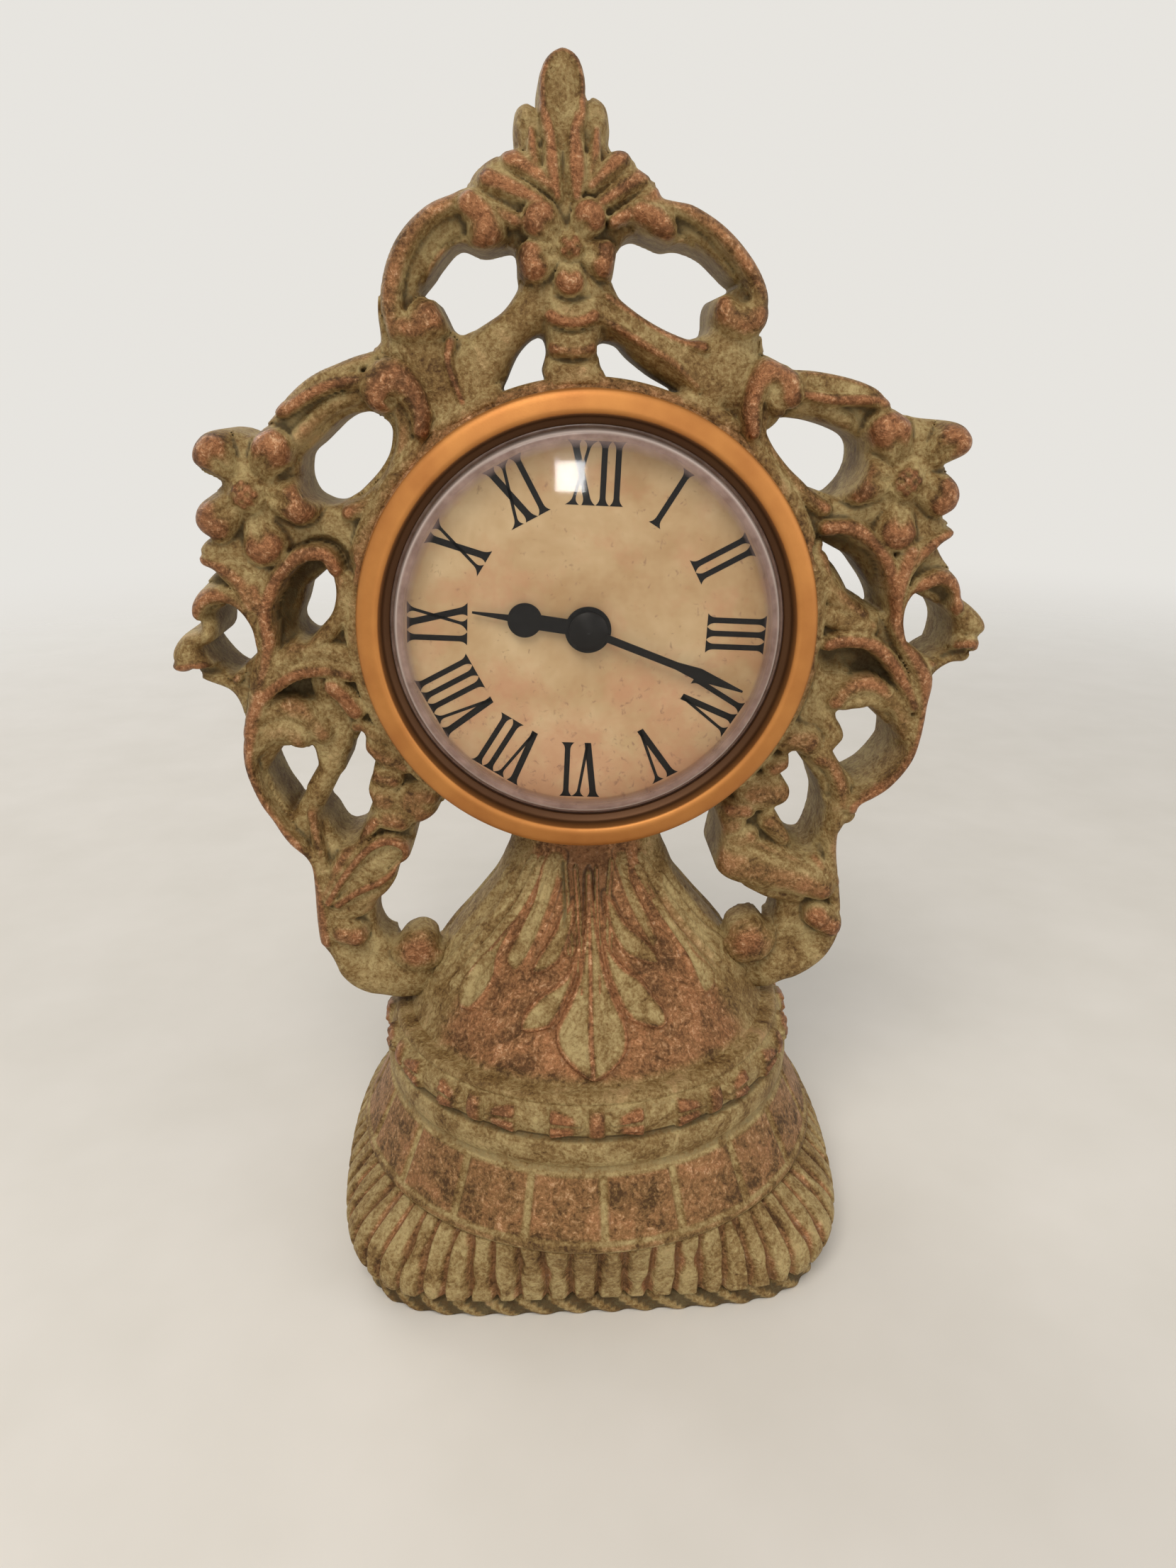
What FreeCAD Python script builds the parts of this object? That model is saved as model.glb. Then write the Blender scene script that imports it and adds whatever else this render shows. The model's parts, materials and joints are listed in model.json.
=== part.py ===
"""Openwork table clock: a cast scroll frame on a fluted base, with a round quartz insert in its ring.

X runs to the right of someone facing the dial, Y runs away from them and Z runs up from the table.
The origin lies on the table under the clock's axis. All lengths are millimetres.
"""
import FreeCAD
import Part
import Sketcher
import math
import os
import re

doc = FreeCAD.newDocument("table_clock")
sheet = doc.addObject("Spreadsheet::Sheet", "sizes")

CASTING_SIZES = {
    "dial_height": 139.5,
    "frame_rise": 100,
    "frame_thickness": 22,
    "scroll_reach": 80,
    "relief_depth": 2.2,
    "relief_inset": 2.5,
    "stem_radius": 1.7,
    "petal_radius": 4.5,
    "knob_radius": 5,
    "ring_radius": 46.4,
    "ring_back_depth": 2,
    "bore_radius": 41,
    "foot_width": 104,
    "foot_depth": 97,
    "waist_width": 113,
    "waist_depth": 103,
    "foot_band": 4.5,
    "disc_height": 21.5,
    "disc_radius": 53.5,
    "disc_edge": 1.2,
    "disc_overhang": 0.9,
    "collar_height": 35,
    "collar_radius": 46.6,
    "band_height": 42.5,
    "band_inset": 0.8,
    "bell_height": 49.5,
    "bell_radius": 42,
    "bell_neck_radius": 16,
    "bell_neck_depth": 20,
    "felt_thickness": 1,
    "felt_width": 88,
    "felt_depth": 82,
    "felt_clearance": 0.2,
    "flute_count": 32,
    "flute_radius": 4.2,
    "flute_cut": 1.3,
    "groove_count": 24,
    "groove_radius": 2,
    "groove_cut": 0.9,
    "bead_count": 24,
    "bead_radius": 1.9,
}
INSERT_SIZES = {
    "bezel_radius": 45,
    "bezel_height": 8,
    "bezel_opening": 38.7,
    "bezel_lip": 1.1,
    "bezel_lip_width": 1.6,
    "bezel_side": 4.4,
    "bezel_round_inset": 0.6,
    "bezel_round_drop": 0.8,
    "bezel_crest_inset": 2.9,
    "bezel_cone_reach": 4.8,
    "bezel_clearance": 0.1,
    "housing_radius": 39.5,
    "housing_wall": 1.4,
    "housing_back": 1.6,
    "housing_clearance": 0.2,
    "flange_radius": 42.8,
    "flange_thickness": 1,
    "tab_width": 8,
    "tab_overlap": 1.2,
    "tab_root": 2.4,
    "tab_thickness": 0.9,
    "grip_length": 7,
    "grip_clearance": 0.12,
    "grip_groove": 0.4,
    "grip_land": 2.3,
    "dial_thickness": 0.6,
    "dial_inset": 0.2,
    "card_thickness": 0.2,
    "card_inset": 0.4,
    "dial_bore": 4.1,
    "lens_thickness": 1.2,
    "lens_step_radius": 37.2,
    "lens_wall": 1.2,
    "lens_step_height": 2.6,
    "lens_dome": 2.8,
}
HAND_SIZES = {
    "hour_hand_length": 23,
    "hour_hub_radius": 4.6,
    "hour_disc_radius": 3.4,
    "hour_disc_reach": 12.6,
    "hour_shaft_width": 3,
    "hour_spike_width": 1.2,
    "minute_hand_length": 33.6,
    "minute_hub_radius": 3.4,
    "minute_shaft_width": 1.5,
    "minute_blade_width": 2.6,
    "minute_blade_start": 19,
    "minute_blade_reach": 24,
    "hand_tip_width": 0.4,
    "hand_thickness": 0.4,
    "hand_gap": 0.65,
    "hour_hand_lift": 1.1,
    "hour_hand_angle": 279.5,
    "minute_hand_angle": 112.4,
    "cap_radius": 3.8,
    "cap_height": 1.6,
    "cap_rim": 0.5,
}
MOVEMENT_SIZES = {
    "movement_width": 56,
    "movement_depth": 16,
    "movement_corner_reach": 37.9,
    "case_wall": 1.3,
    "case_front": 1.4,
    "case_corner_wall": 1,
    "lid_thickness": 1.4,
    "divider_drop": 10.9,
    "divider_wall": 0.6,
    "trough_floor": 0.9,
    "bush_radius": 3.9,
    "bush_length": 1.2,
    "fit_clearance": 0.06,
    "hour_pipe_radius": 2.9,
    "minute_arbor_radius": 1.5,
    "minute_journal_radius": 1.1,
    "arbor_radius": 0.45,
    "pivot_depth": 0.8,
    "pivot_end_play": 0.1,
    "bridge_level": 9.8,
    "bridge_thickness": 0.8,
    "bridge_clearance": 0.2,
    "post_radius": 1,
    "post_offset": 25.2,
    "post_low": 8.6,
    "post_high": 12,
    "boss_radius": 1.1,
    "stator_boss_inset": 1.7,
    "board_boss_inset": 2.2,
    "wheel_thickness": 0.7,
    "pinion_extra": 0.3,
    "hour_wheel_level": 2,
    "transfer_level": 3.6,
    "fifth_level": 4.5,
    "centre_level": 5.3,
    "third_level": 6.9,
    "fourth_level": 8.3,
    "cannon_teeth": 12,
    "transfer_teeth": 36,
    "transfer_pinion_teeth": 10,
    "hour_teeth": 40,
    "knob_teeth": 18,
    "centre_teeth": 60,
    "third_teeth": 64,
    "fourth_teeth": 40,
    "fifth_teeth": 48,
    "pinion_teeth": 8,
    "cannon_module": 0.5,
    "hour_module": 0.48,
    "centre_module": 0.34,
    "third_module": 0.28,
    "fourth_module": 0.36,
    "fifth_module": 0.22,
    "transfer_bearing": 174,
    "knob_bearing": 75,
    "third_bearing": 10,
    "fourth_bearing": 70,
    "fifth_bearing": 150,
    "rotor_bearing": 160,
    "magnet_radius": 2.5,
    "magnet_level": 6,
    "magnet_length": 2,
    "stator_gap": 0.5,
    "stator_level": 6.4,
    "stator_thickness": 0.8,
    "stator_width": 3.4,
    "stator_left": 23.5,
    "stator_right": 5.8,
    "stator_low": 16.2,
    "stator_high": 24,
    "core_width": 1.6,
    "pole_side": 8.4,
    "coil_radius": 2.9,
    "coil_bore": 1.05,
    "coil_left": 19.8,
    "coil_right": 3.4,
    "board_left": 10.5,
    "board_right": 25.3,
    "board_low": 20.8,
    "board_high": 26,
    "board_level": 3,
    "board_thickness": 1,
    "chip_radius": 2,
    "chip_height": 0.7,
    "chip_inset": 2.8,
    "crystal_radius": 1,
    "crystal_length": 6,
    "knob_shaft_radius": 1.4,
    "knob_radius_outer": 6.5,
    "knob_height": 3.2,
    "knob_gap": 0.4,
    "knob_ribs": 30,
    "battery_radius": 7.25,
    "battery_length": 50.5,
    "battery_nub_radius": 2.6,
    "battery_nub_length": 1.3,
    "battery_drop": 19.1,
    "battery_level": 8.3,
    "contact_thickness": 0.35,
    "contact_width": 9,
    "contact_height": 9,
    "contact_gap": 0.05,
    "contact_pad_radius": 3,
}
PLACES = {
    "transfer_x": "=transfer_reach * cos(transfer_bearing * 1deg)",
    "transfer_z": "=transfer_reach * sin(transfer_bearing * 1deg)",
    "knob_x": "=transfer_x + knob_reach * cos(knob_bearing * 1deg)",
    "knob_z": "=transfer_z + knob_reach * sin(knob_bearing * 1deg)",
    "third_x": "=third_reach * cos(third_bearing * 1deg)",
    "third_z": "=third_reach * sin(third_bearing * 1deg)",
    "fourth_x": "=third_x + fourth_reach * cos(fourth_bearing * 1deg)",
    "fourth_z": "=third_z + fourth_reach * sin(fourth_bearing * 1deg)",
    "fifth_x": "=fourth_x + fifth_reach * cos(fifth_bearing * 1deg)",
    "fifth_z": "=fourth_z + fifth_reach * sin(fifth_bearing * 1deg)",
    "rotor_x": "=fifth_x + rotor_reach * cos(rotor_bearing * 1deg)",
    "rotor_z": "=fifth_z + rotor_reach * sin(rotor_bearing * 1deg)",
}
REACHES = {
    "transfer_reach": "=(cannon_teeth + transfer_teeth) * cannon_module / 2",
    "knob_reach": "=(transfer_teeth + knob_teeth) * cannon_module / 2",
    "third_reach": "=(centre_teeth + pinion_teeth) * centre_module / 2",
    "fourth_reach": "=(third_teeth + pinion_teeth) * third_module / 2",
    "fifth_reach": "=(fourth_teeth + pinion_teeth) * fourth_module / 2",
    "rotor_reach": "=(fifth_teeth + pinion_teeth) * fifth_module / 2",
}


def fill_sheet(tables):
    """Writes each named size or formula into its own row of the sheet."""
    row = 1
    for table in tables:
        for alias, value in table.items():
            sheet.set(f"A{row}", alias)
            sheet.set(f"B{row}", str(value))
            sheet.setAlias(f"B{row}", alias)
            row += 1
    doc.recompute()


fill_sheet((CASTING_SIZES, INSERT_SIZES, HAND_SIZES, MOVEMENT_SIZES, REACHES, PLACES))

# Planes across the insert, front to back, as rules in the sheet's names
FRAME_FRONT = "-frame_thickness / 2"
DIAL_BACK = f"{FRAME_FRONT} - flange_thickness"
CARD_BACK = f"{DIAL_BACK} - dial_thickness"
CARD_FRONT = f"{CARD_BACK} - card_thickness"
LENS_RIM_FRONT = f"{CARD_FRONT} - lens_thickness"
HOUR_HAND_BACK = f"{CARD_FRONT} - hour_hand_lift"
HOUR_HAND_FRONT = f"{HOUR_HAND_BACK} - hand_thickness"
MINUTE_HAND_BACK = f"{HOUR_HAND_FRONT} - hand_gap"
MINUTE_HAND_FRONT = f"{MINUTE_HAND_BACK} - hand_thickness"
MOVEMENT_BACK = f"{DIAL_BACK} + movement_depth"


def size(rule):
    """The length that a rule in the sheet's names gives."""
    return float(sheet.evalExpression(rule))


def linked(rule):
    """The rule as another object of the document states it."""
    return re.sub(r"[a-z]\w+", lambda word: "sizes." + word.group(), rule)


def bind(thing, **rules):
    """Ties properties of a feature to rules in the sheet's names."""
    for name, rule in rules.items():
        thing.setExpression(name.replace("__", "."), linked(rule))


def deep(rule):
    """A plane at a depth behind the movement's front face."""
    return f"{DIAL_BACK} + {rule}"


# Tools for simple solids, all placed from the dial's centre
ALONG_Y = FreeCAD.Rotation(FreeCAD.Vector(1, 0, 0), -90)
ALONG_X = FreeCAD.Rotation(FreeCAD.Vector(0, 1, 0), 90)


def rod(name, radius, front, back, across="0", up="0"):
    """A cylinder along Y from the front plane to the back plane."""
    made = doc.addObject("Part::Cylinder", name)
    made.Placement.Rotation = ALONG_Y
    bind(made, Radius=radius, Height=f"({back}) - ({front})",
         Placement__Base__x=across, Placement__Base__y=front, Placement__Base__z=f"dial_height + {up}")
    return made


def bar(name, radius, left, right, depth, up):
    """A cylinder along X between two planes."""
    made = doc.addObject("Part::Cylinder", name)
    made.Placement.Rotation = ALONG_X
    bind(made, Radius=radius, Height=f"({right}) - ({left})",
         Placement__Base__x=left, Placement__Base__y=depth, Placement__Base__z=f"dial_height + {up}")
    return made


def block(name, left, right, front, back, low, high):
    """A box between six planes."""
    made = doc.addObject("Part::Box", name)
    bind(made, Length=f"({right}) - ({left})", Width=f"({back}) - ({front})", Height=f"({high}) - ({low})",
         Placement__Base__x=left, Placement__Base__y=front, Placement__Base__z=f"dial_height + {low}")
    return made


def joined(name, *pieces):
    """One solid made of several that meet."""
    made = doc.addObject("Part::MultiFuse", name)
    made.Shapes = list(pieces)
    made.Refine = True
    return made


def cut(name, base, *tools):
    """A solid less the tools that go through it."""
    made = doc.addObject("Part::Cut", name)
    made.Base = base
    made.Tool = tools[0] if len(tools) == 1 else joined(f"{name}_tools", *tools)
    return made


def shared(name, first, second):
    """What two solids have in common."""
    made = doc.addObject("Part::Common", name)
    made.Base = first
    made.Tool = second
    return made


def shaped(label, shape, lifted=False, clockwise=0):
    """A sub-part whose shape is worked out from the sizes; a lifted one is drawn about the dial's centre."""
    made = doc.addObject("Part::Feature", label)
    made.Label = label
    made.Shape = shape
    turn = FreeCAD.Rotation(FreeCAD.Vector(0, 1, 0), clockwise)
    made.Placement = FreeCAD.Placement(FreeCAD.Vector(0, 0, 0), turn)
    if lifted:
        bind(made, Placement__Base__z="dial_height")
    return made


def sketch_on(body, role):
    """A sketch on one of the body's own planes."""
    sketch = body.newObject("Sketcher::SketchObject", f"{body.Name}_sketch")
    plane = next(feature for feature in body.Origin.OriginFeatures if feature.Role == role)
    sketch.AttachmentSupport = [(plane, "")]
    sketch.MapMode = "FlatFace"
    return sketch


def fix_point(sketch, edge, end, across, up):
    """Holds one end of a line at a place given by two rules."""
    for kind, rule in (("DistanceX", across), ("DistanceY", up)):
        index = sketch.addConstraint(Sketcher.Constraint(kind, -1, 1, edge, end, size(rule)))
        sketch.setExpression(f"Constraints[{index}]", linked(rule))


def add_outline(sketch, corners):
    """A closed outline of straight edges through corners given as pairs of rules."""
    count = len(corners)
    points = [FreeCAD.Vector(size(across), size(up), 0) for across, up in corners]
    for i in range(count):
        sketch.addGeometry(Part.LineSegment(points[i], points[(i + 1) % count]), False)
    for i in range(count):
        sketch.addConstraint(Sketcher.Constraint("Coincident", i, 2, (i + 1) % count, 1))
    for i, (across, up) in enumerate(corners):
        fix_point(sketch, i, 1, across, up)


def add_circle(sketch, radius):
    """A circle about the sketch's origin."""
    circle = Part.Circle(FreeCAD.Vector(0, 0, 0), FreeCAD.Vector(0, 0, 1), size(radius))
    edge = sketch.addGeometry(circle, False)
    sketch.addConstraint(Sketcher.Constraint("Coincident", edge, 3, -1, 1))
    index = sketch.addConstraint(Sketcher.Constraint("Radius", edge, size(radius)))
    sketch.setExpression(f"Constraints[{index}]", linked(radius))


def new_body(label):
    """An empty body under its sub-part's name."""
    body = doc.addObject("PartDesign::Body", label)
    body.Label = label
    return body


def turned(label, corners):
    """A sub-part turned about the dial's axis, from corners given as radius and depth."""
    body = new_body(label)
    sketch = sketch_on(body, "XY_Plane")
    add_outline(sketch, corners)
    feature = body.newObject("PartDesign::Revolution", f"{label}_turn")
    feature.Profile = sketch
    feature.ReferenceAxis = (sketch, ["V_Axis"])
    feature.Angle = 360
    bind(body, Placement__Base__z="dial_height")
    return body


def disc(label, radius, bore, back, thickness):
    """A flat round sub-part with a bore, in front of its back plane."""
    body = new_body(label)
    sketch = sketch_on(body, "XZ_Plane")
    add_circle(sketch, radius)
    add_circle(sketch, bore)
    feature = body.newObject("PartDesign::Pad", f"{label}_pad")
    feature.Profile = sketch
    bind(feature, Length=thickness)
    bind(body, Placement__Base__y=back, Placement__Base__z="dial_height")
    return body


def axle(x, z, radius, front, back):
    """A plain cylinder shape along Y at a place measured from the dial's centre."""
    start = FreeCAD.Vector(x, front, size("dial_height") + z)
    return Part.makeCylinder(radius, back - front, start, FreeCAD.Vector(0, 1, 0))


# The casting

LEFT_OUTLINE_SHARES = (
    (-0.338, 0.36), (-0.375, 0.43), (-0.45, 0.495), (-0.479, 0.53), (-0.50, 0.512), (-0.588, 0.49),
    (-0.663, 0.46), (-0.719, 0.42), (-0.769, 0.38), (-0.806, 0.366), (-0.875, 0.377), (-0.906, 0.367),
    (-0.938, 0.32), (-0.88, 0.277), (-0.935, 0.24), (-0.946, 0.21), (-0.894, 0.17), (-0.944, 0.135),
    (-0.919, 0.113), (-0.981, 0.03), (-0.969, -0.006), (-1.013, -0.017), (-1.05, -0.075), (-1.031, -0.1),
    (-0.988, -0.122), (-0.906, -0.167), (-0.891, -0.244), (-0.881, -0.378), (-0.819, -0.494),
    (-0.763, -0.556), (-0.746, -0.644), (-0.754, -0.733), (-0.725, -0.828), (-0.669, -0.922),
    (-0.588, -0.95), (-0.475, -0.961), (-0.413, -0.889), (-0.418, -0.84), (-0.425, -0.79),
    (-0.463, -0.756), (-0.513, -0.778), (-0.544, -0.809), (-0.569, -0.789), (-0.581, -0.722),
    (-0.538, -0.644), (-0.513, -0.611), (-0.475, -0.556), (-0.456, -0.483), (-0.413, -0.465), (-0.35, -0.411),
)
RIGHT_OUTLINE_SHARES = (
    (0.338, 0.37), (0.363, 0.43), (0.388, 0.48), (0.438, 0.503), (0.494, 0.481), (0.588, 0.472),
    (0.675, 0.453), (0.75, 0.41), (0.813, 0.392), (0.894, 0.385), (0.938, 0.355), (0.93, 0.33),
    (0.89, 0.302), (0.929, 0.245), (0.894, 0.203), (0.916, 0.17), (0.888, 0.145), (0.953, 0.06),
    (0.981, 0.032), (1.031, -0.005), (1.05, -0.04), (1.013, -0.094), (1.0, -0.108), (0.925, -0.133),
    (0.898, -0.2), (0.888, -0.289), (0.85, -0.372), (0.775, -0.433), (0.738, -0.456), (0.731, -0.5),
    (0.694, -0.528), (0.70, -0.622), (0.721, -0.744), (0.713, -0.822), (0.65, -0.9), (0.563, -0.939),
    (0.475, -0.961), (0.40, -0.878), (0.388, -0.811), (0.413, -0.756), (0.45, -0.742), (0.506, -0.778),
    (0.529, -0.744), (0.531, -0.717), (0.50, -0.70), (0.425, -0.656), (0.355, -0.60), (0.352, -0.55),
    (0.35, -0.50), (0.30, -0.411),
)
CROWN_OUTLINE_SHARES = (
    (-0.35, 0.36), (-0.479, 0.49), (-0.481, 0.58), (-0.475, 0.62), (-0.45, 0.68), (-0.413, 0.72),
    (-0.35, 0.758), (-0.275, 0.775), (-0.264, 0.795), (-0.238, 0.815), (-0.188, 0.84), (-0.161, 0.855),
    (-0.159, 0.88), (-0.125, 0.92), (-0.105, 0.917), (-0.094, 0.96), (-0.048, 1.0), (-0.006, 0.96),
    (0.003, 0.922), (0.023, 0.93), (0.055, 0.89), (0.06, 0.852), (0.10, 0.838), (0.125, 0.81),
    (0.163, 0.795), (0.175, 0.77), (0.25, 0.755), (0.325, 0.72), (0.388, 0.67), (0.423, 0.62),
    (0.428, 0.58), (0.419, 0.54), (0.413, 0.49), (0.35, 0.36),
)
HOLE_SHARES = (
    ((-0.516, 0.408), (-0.60, 0.36), (-0.64, 0.32), (-0.629, 0.27), (-0.588, 0.253), (-0.538, 0.27),
     (-0.475, 0.33), (-0.465, 0.38)),
    ((-0.654, 0.105), (-0.626, 0.07), (-0.644, 0.02), (-0.66, 0.008), (-0.69, 0.04), (-0.675, 0.07)),
    ((-0.90, 0.045), (-0.856, 0.025), (-0.834, -0.044), (-0.863, -0.05), (-0.904, 0.005)),
    ((-0.80, -0.289), (-0.723, -0.289), (-0.715, -0.339), (-0.756, -0.408), (-0.80, -0.372),
     (-0.81, -0.333)),
    ((-0.594, -0.24), (-0.614, -0.31), (-0.664, -0.37), (-0.635, -0.43), (-0.578, -0.417),
     (-0.568, -0.344), (-0.573, -0.278)),
    ((0.441, 0.37), (0.481, 0.393), (0.563, 0.378), (0.615, 0.345), (0.606, 0.295), (0.563, 0.26),
     (0.50, 0.30)),
    ((0.594, 0.14), (0.631, 0.124), (0.675, 0.08), (0.698, 0.045), (0.668, 0.056), (0.625, 0.098)),
    ((0.838, 0.055), (0.863, 0.02), (0.848, -0.044), (0.819, -0.033), (0.813, 0.01)),
    ((0.669, -0.228), (0.75, -0.211), (0.75, -0.278), (0.694, -0.356), (0.669, -0.317), (0.691, -0.283)),
    ((0.563, -0.317), (0.588, -0.378), (0.581, -0.444), (0.55, -0.489), (0.513, -0.461), (0.544, -0.411),
     (0.519, -0.367)),
    ((-0.363, 0.603), (-0.313, 0.65), (-0.275, 0.675), (-0.225, 0.663), (-0.163, 0.67), (-0.156, 0.62),
     (-0.225, 0.565), (-0.294, 0.543), (-0.331, 0.595)),
    ((0.069, 0.67), (0.10, 0.69), (0.20, 0.675), (0.25, 0.66), (0.319, 0.61), (0.26, 0.575), (0.254, 0.535),
     (0.138, 0.57), (0.066, 0.625)),
    ((-0.104, 0.475), (-0.188, 0.458), (-0.156, 0.505), (-0.113, 0.533), (-0.095, 0.51)),
    ((0.028, 0.523), (0.038, 0.49), (0.063, 0.475), (0.188, 0.46), (0.138, 0.482), (0.075, 0.515)),
)
# Each flower's petals and each knob: across, up, and radius against the named petal or knob radius
PETAL_SHARES = (
    (-0.881, 0.335, 1.0), (-0.744, 0.342, 0.85), (-0.691, 0.247, 0.9), (-0.888, 0.215, 1.0),
    (-0.779, 0.168, 0.9), (-0.813, 0.26, 0.65), (0.735, 0.355, 1.0), (0.875, 0.343, 1.0), (0.869, 0.255, 1.0),
    (0.769, 0.192, 0.95), (0.673, 0.263, 1.0), (0.781, 0.275, 0.7), (-0.1, 0.728, 0.65), (0.004, 0.73, 0.6),
    (0.038, 0.665, 0.62), (-0.115, 0.663, 0.7), (-0.04, 0.627, 0.62), (-0.034, 0.685, 0.5),
    (-0.56, -0.30, 0.75), (-0.46, -0.44, 0.75), (-0.52, -0.37, 0.8), (0.575, -0.278, 0.8),
    (0.525, -0.333, 0.8), (0.488, -0.411, 0.8), (0.40, -0.47, 0.8),
)
KNOB_SHARES = (
    (-0.45, 0.44, 1.1), (0.425, 0.455, 1.0), (-0.475, -0.806, 0.9), (0.45, -0.80, 1.0),
    (-0.229, 0.72, 0.6), (0.156, 0.715, 0.6), (-0.35, 0.575, 0.55), (0.344, 0.59, 0.65),
    (-0.664, -0.756, 0.6), (0.663, -0.756, 0.6),
)
# Round studs under the crown's leaf, its side lobes, its column and the shell's lobes
LEAF_SHARES = (
    (-0.048, 0.90, 0.55), (-0.118, 0.865, 0.5), (0.025, 0.865, 0.5), (-0.04, 0.555, 0.75), (-0.04, 0.50, 0.9),
    (-0.19, 0.79, 0.75), (0.09, 0.785, 0.75),
)
# The raised stems and rims on the front of the scrollwork, along their middles
STEM_SHARES = (
    ((-0.816, 0.08), (-0.80, -0.044), (-0.856, -0.222), (-0.865, -0.37), (-0.79, -0.51), (-0.735, -0.67),
     (-0.72, -0.778)),
    ((-0.431, 0.55), (-0.43, 0.65), (-0.354, 0.735), (-0.26, 0.755)),
    ((-0.52, 0.49), (-0.59, 0.475), (-0.69, 0.415)),
    ((0.806, 0.14), (0.788, 0.02), (0.86, -0.11), (0.87, -0.244), (0.83, -0.36), (0.725, -0.44),
     (0.685, -0.578), (0.70, -0.755)),
    ((0.17, 0.752), (0.275, 0.725), (0.38, 0.64), (0.40, 0.58)),
    ((0.52, 0.46), (0.60, 0.452), (0.69, 0.43)),
)
# The bell's sections: height, width and depth between its foot and its neck
BELL_SHARES = (
    (0.0, 1.0, 1.0), (0.06, 0.93, 0.92), (0.2, 0.8, 0.74), (0.37, 0.58, 0.5), (0.5, 0.37, 0.31),
    (0.64, 0.17, 0.14), (0.8, 0.05, 0.04), (1.0, 0.0, 0.0),
)
# The base's sections between foot and disc: height, and how far the square plan has turned round
BASE_SHARES = (
    (0.0, 0.0, 0.0), (0.12, 0.35, 0.0), (0.24, 0.9, 0.06), (0.5, 1.0, 0.25), (0.8, 1.0, 0.65),
    (1.0, 1.0, 1.0),
)
SQUARE_POWER = 4
SECTION_POINTS = 32
HALF_TURN_SHARE = 0.5
STUD_CROWN_SHARE = 0.55
STUD_SHOULDER_SHARE = 0.3
REACH_BELOW = "dial_height - bell_height"


def frame_point(share, depth):
    """A point of the frame from its shares of the reach and of the height above or below the dial's centre."""
    across, up = share
    height = size("frame_rise") if up > 0 else size(REACH_BELOW)
    return FreeCAD.Vector(across * size("scroll_reach"), depth, size("dial_height") + up * height)


def smooth_face(shares, depth, closed):
    """A flat face inside a smooth curve through the points, closed by the curve or by a straight edge."""
    points = [frame_point(share, depth) for share in shares]
    curve = Part.BSplineCurve()
    curve.interpolate(Points=points, PeriodicFlag=closed)
    edges = [curve.toShape()]
    if not closed:
        edges.append(Part.LineSegment(points[-1], points[0]).toShape())
    return Part.Face(Part.Wire(edges))


def openwork():
    """The flat scrollwork: two sides and the crown, with their openings."""
    front = size(f"{FRAME_FRONT} + relief_inset")
    through = FreeCAD.Vector(0, size("frame_thickness - relief_inset"), 0)
    outlines = (LEFT_OUTLINE_SHARES, RIGHT_OUTLINE_SHARES, CROWN_OUTLINE_SHARES)
    plates = [smooth_face(shares, front, False).extrude(through) for shares in outlines]
    holes = [smooth_face(shares, front, True).extrude(through) for shares in HOLE_SHARES]
    return plates, holes


def stem(shares):
    """A raised stem: a round section carried along a smooth curve on the plates' front."""
    curve = Part.BSplineCurve()
    curve.interpolate(Points=[frame_point(share, size(f"{FRAME_FRONT} + relief_inset")) for share in shares])
    start, along = curve.value(curve.FirstParameter), curve.tangent(curve.FirstParameter)[0]
    section = Part.Wire(Part.Circle(start, along, size("stem_radius")).toShape())
    return Part.Wire(curve.toShape()).makePipeShell([section], True, False)


def stud(share, radius):
    """A round stud through the plate, with a low bevelled boss proud of each face."""
    across, up, _ = share
    centre = frame_point((across, up), 0)
    half = size("frame_thickness") / 2
    rise = half + size("relief_depth")
    crown = radius * STUD_CROWN_SHARE
    shoulder = half + size("relief_depth") * STUD_SHOULDER_SHARE
    corners = ((0, rise), (crown, rise), (radius, shoulder), (radius, -shoulder), (crown, -rise), (0, -rise))
    points = [FreeCAD.Vector(aside, depth, 0) for aside, depth in corners]
    face = Part.Face(Part.makePolygon(points + points[:1]))
    solid = face.revolve(FreeCAD.Vector(0, 0, 0), FreeCAD.Vector(0, 1, 0), 360)
    solid.translate(FreeCAD.Vector(centre.x, 0, centre.z))
    return solid


def ellipse_wire(width, depth, height):
    """A level ellipse about the clock's axis, from its half width and half depth."""
    centre = FreeCAD.Vector(0, 0, height)
    if abs(width - depth) < size("fit_clearance"):
        return Part.Wire(Part.Circle(centre, FreeCAD.Vector(0, 0, 1), width).toShape())
    curve = Part.Ellipse(FreeCAD.Vector(width, 0, height), FreeCAD.Vector(0, depth, height), centre)
    return Part.Wire(curve.toShape())


def bell():
    """The waisted bell from its round foot to the flat neck under the ring."""
    foot = size("bell_height")
    rise = size("dial_height") - size("bore_radius") - foot
    wires = []
    for up, wide, deep_share in BELL_SHARES:
        width = size("bell_neck_radius") + wide * (size("bell_radius") - size("bell_neck_radius"))
        depth = size("bell_neck_depth") / 2 + deep_share * (size("bell_radius") - size("bell_neck_depth") / 2)
        wires.append(ellipse_wire(width, depth, foot + up * rise))
    return Part.makeLoft(wires, True, False)


def rounded_square_wire(width, depth, roundness, height):
    """A level outline between a rounded square and the circle under the disc."""
    top_radius = size("disc_radius - disc_overhang")
    points = []
    for i in range(SECTION_POINTS):
        angle = 2 * math.pi * i / SECTION_POINTS
        along, aside = math.cos(angle), math.sin(angle)
        power = 2 / SQUARE_POWER
        square_x = math.copysign(abs(along) ** power, along) * width
        square_y = math.copysign(abs(aside) ** power, aside) * depth
        x = square_x + roundness * (along * top_radius - square_x)
        y = square_y + roundness * (aside * top_radius - square_y)
        points.append(FreeCAD.Vector(x, y, height))
    curve = Part.BSplineCurve()
    curve.interpolate(Points=points, PeriodicFlag=True)
    return Part.Wire(curve.toShape())


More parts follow.
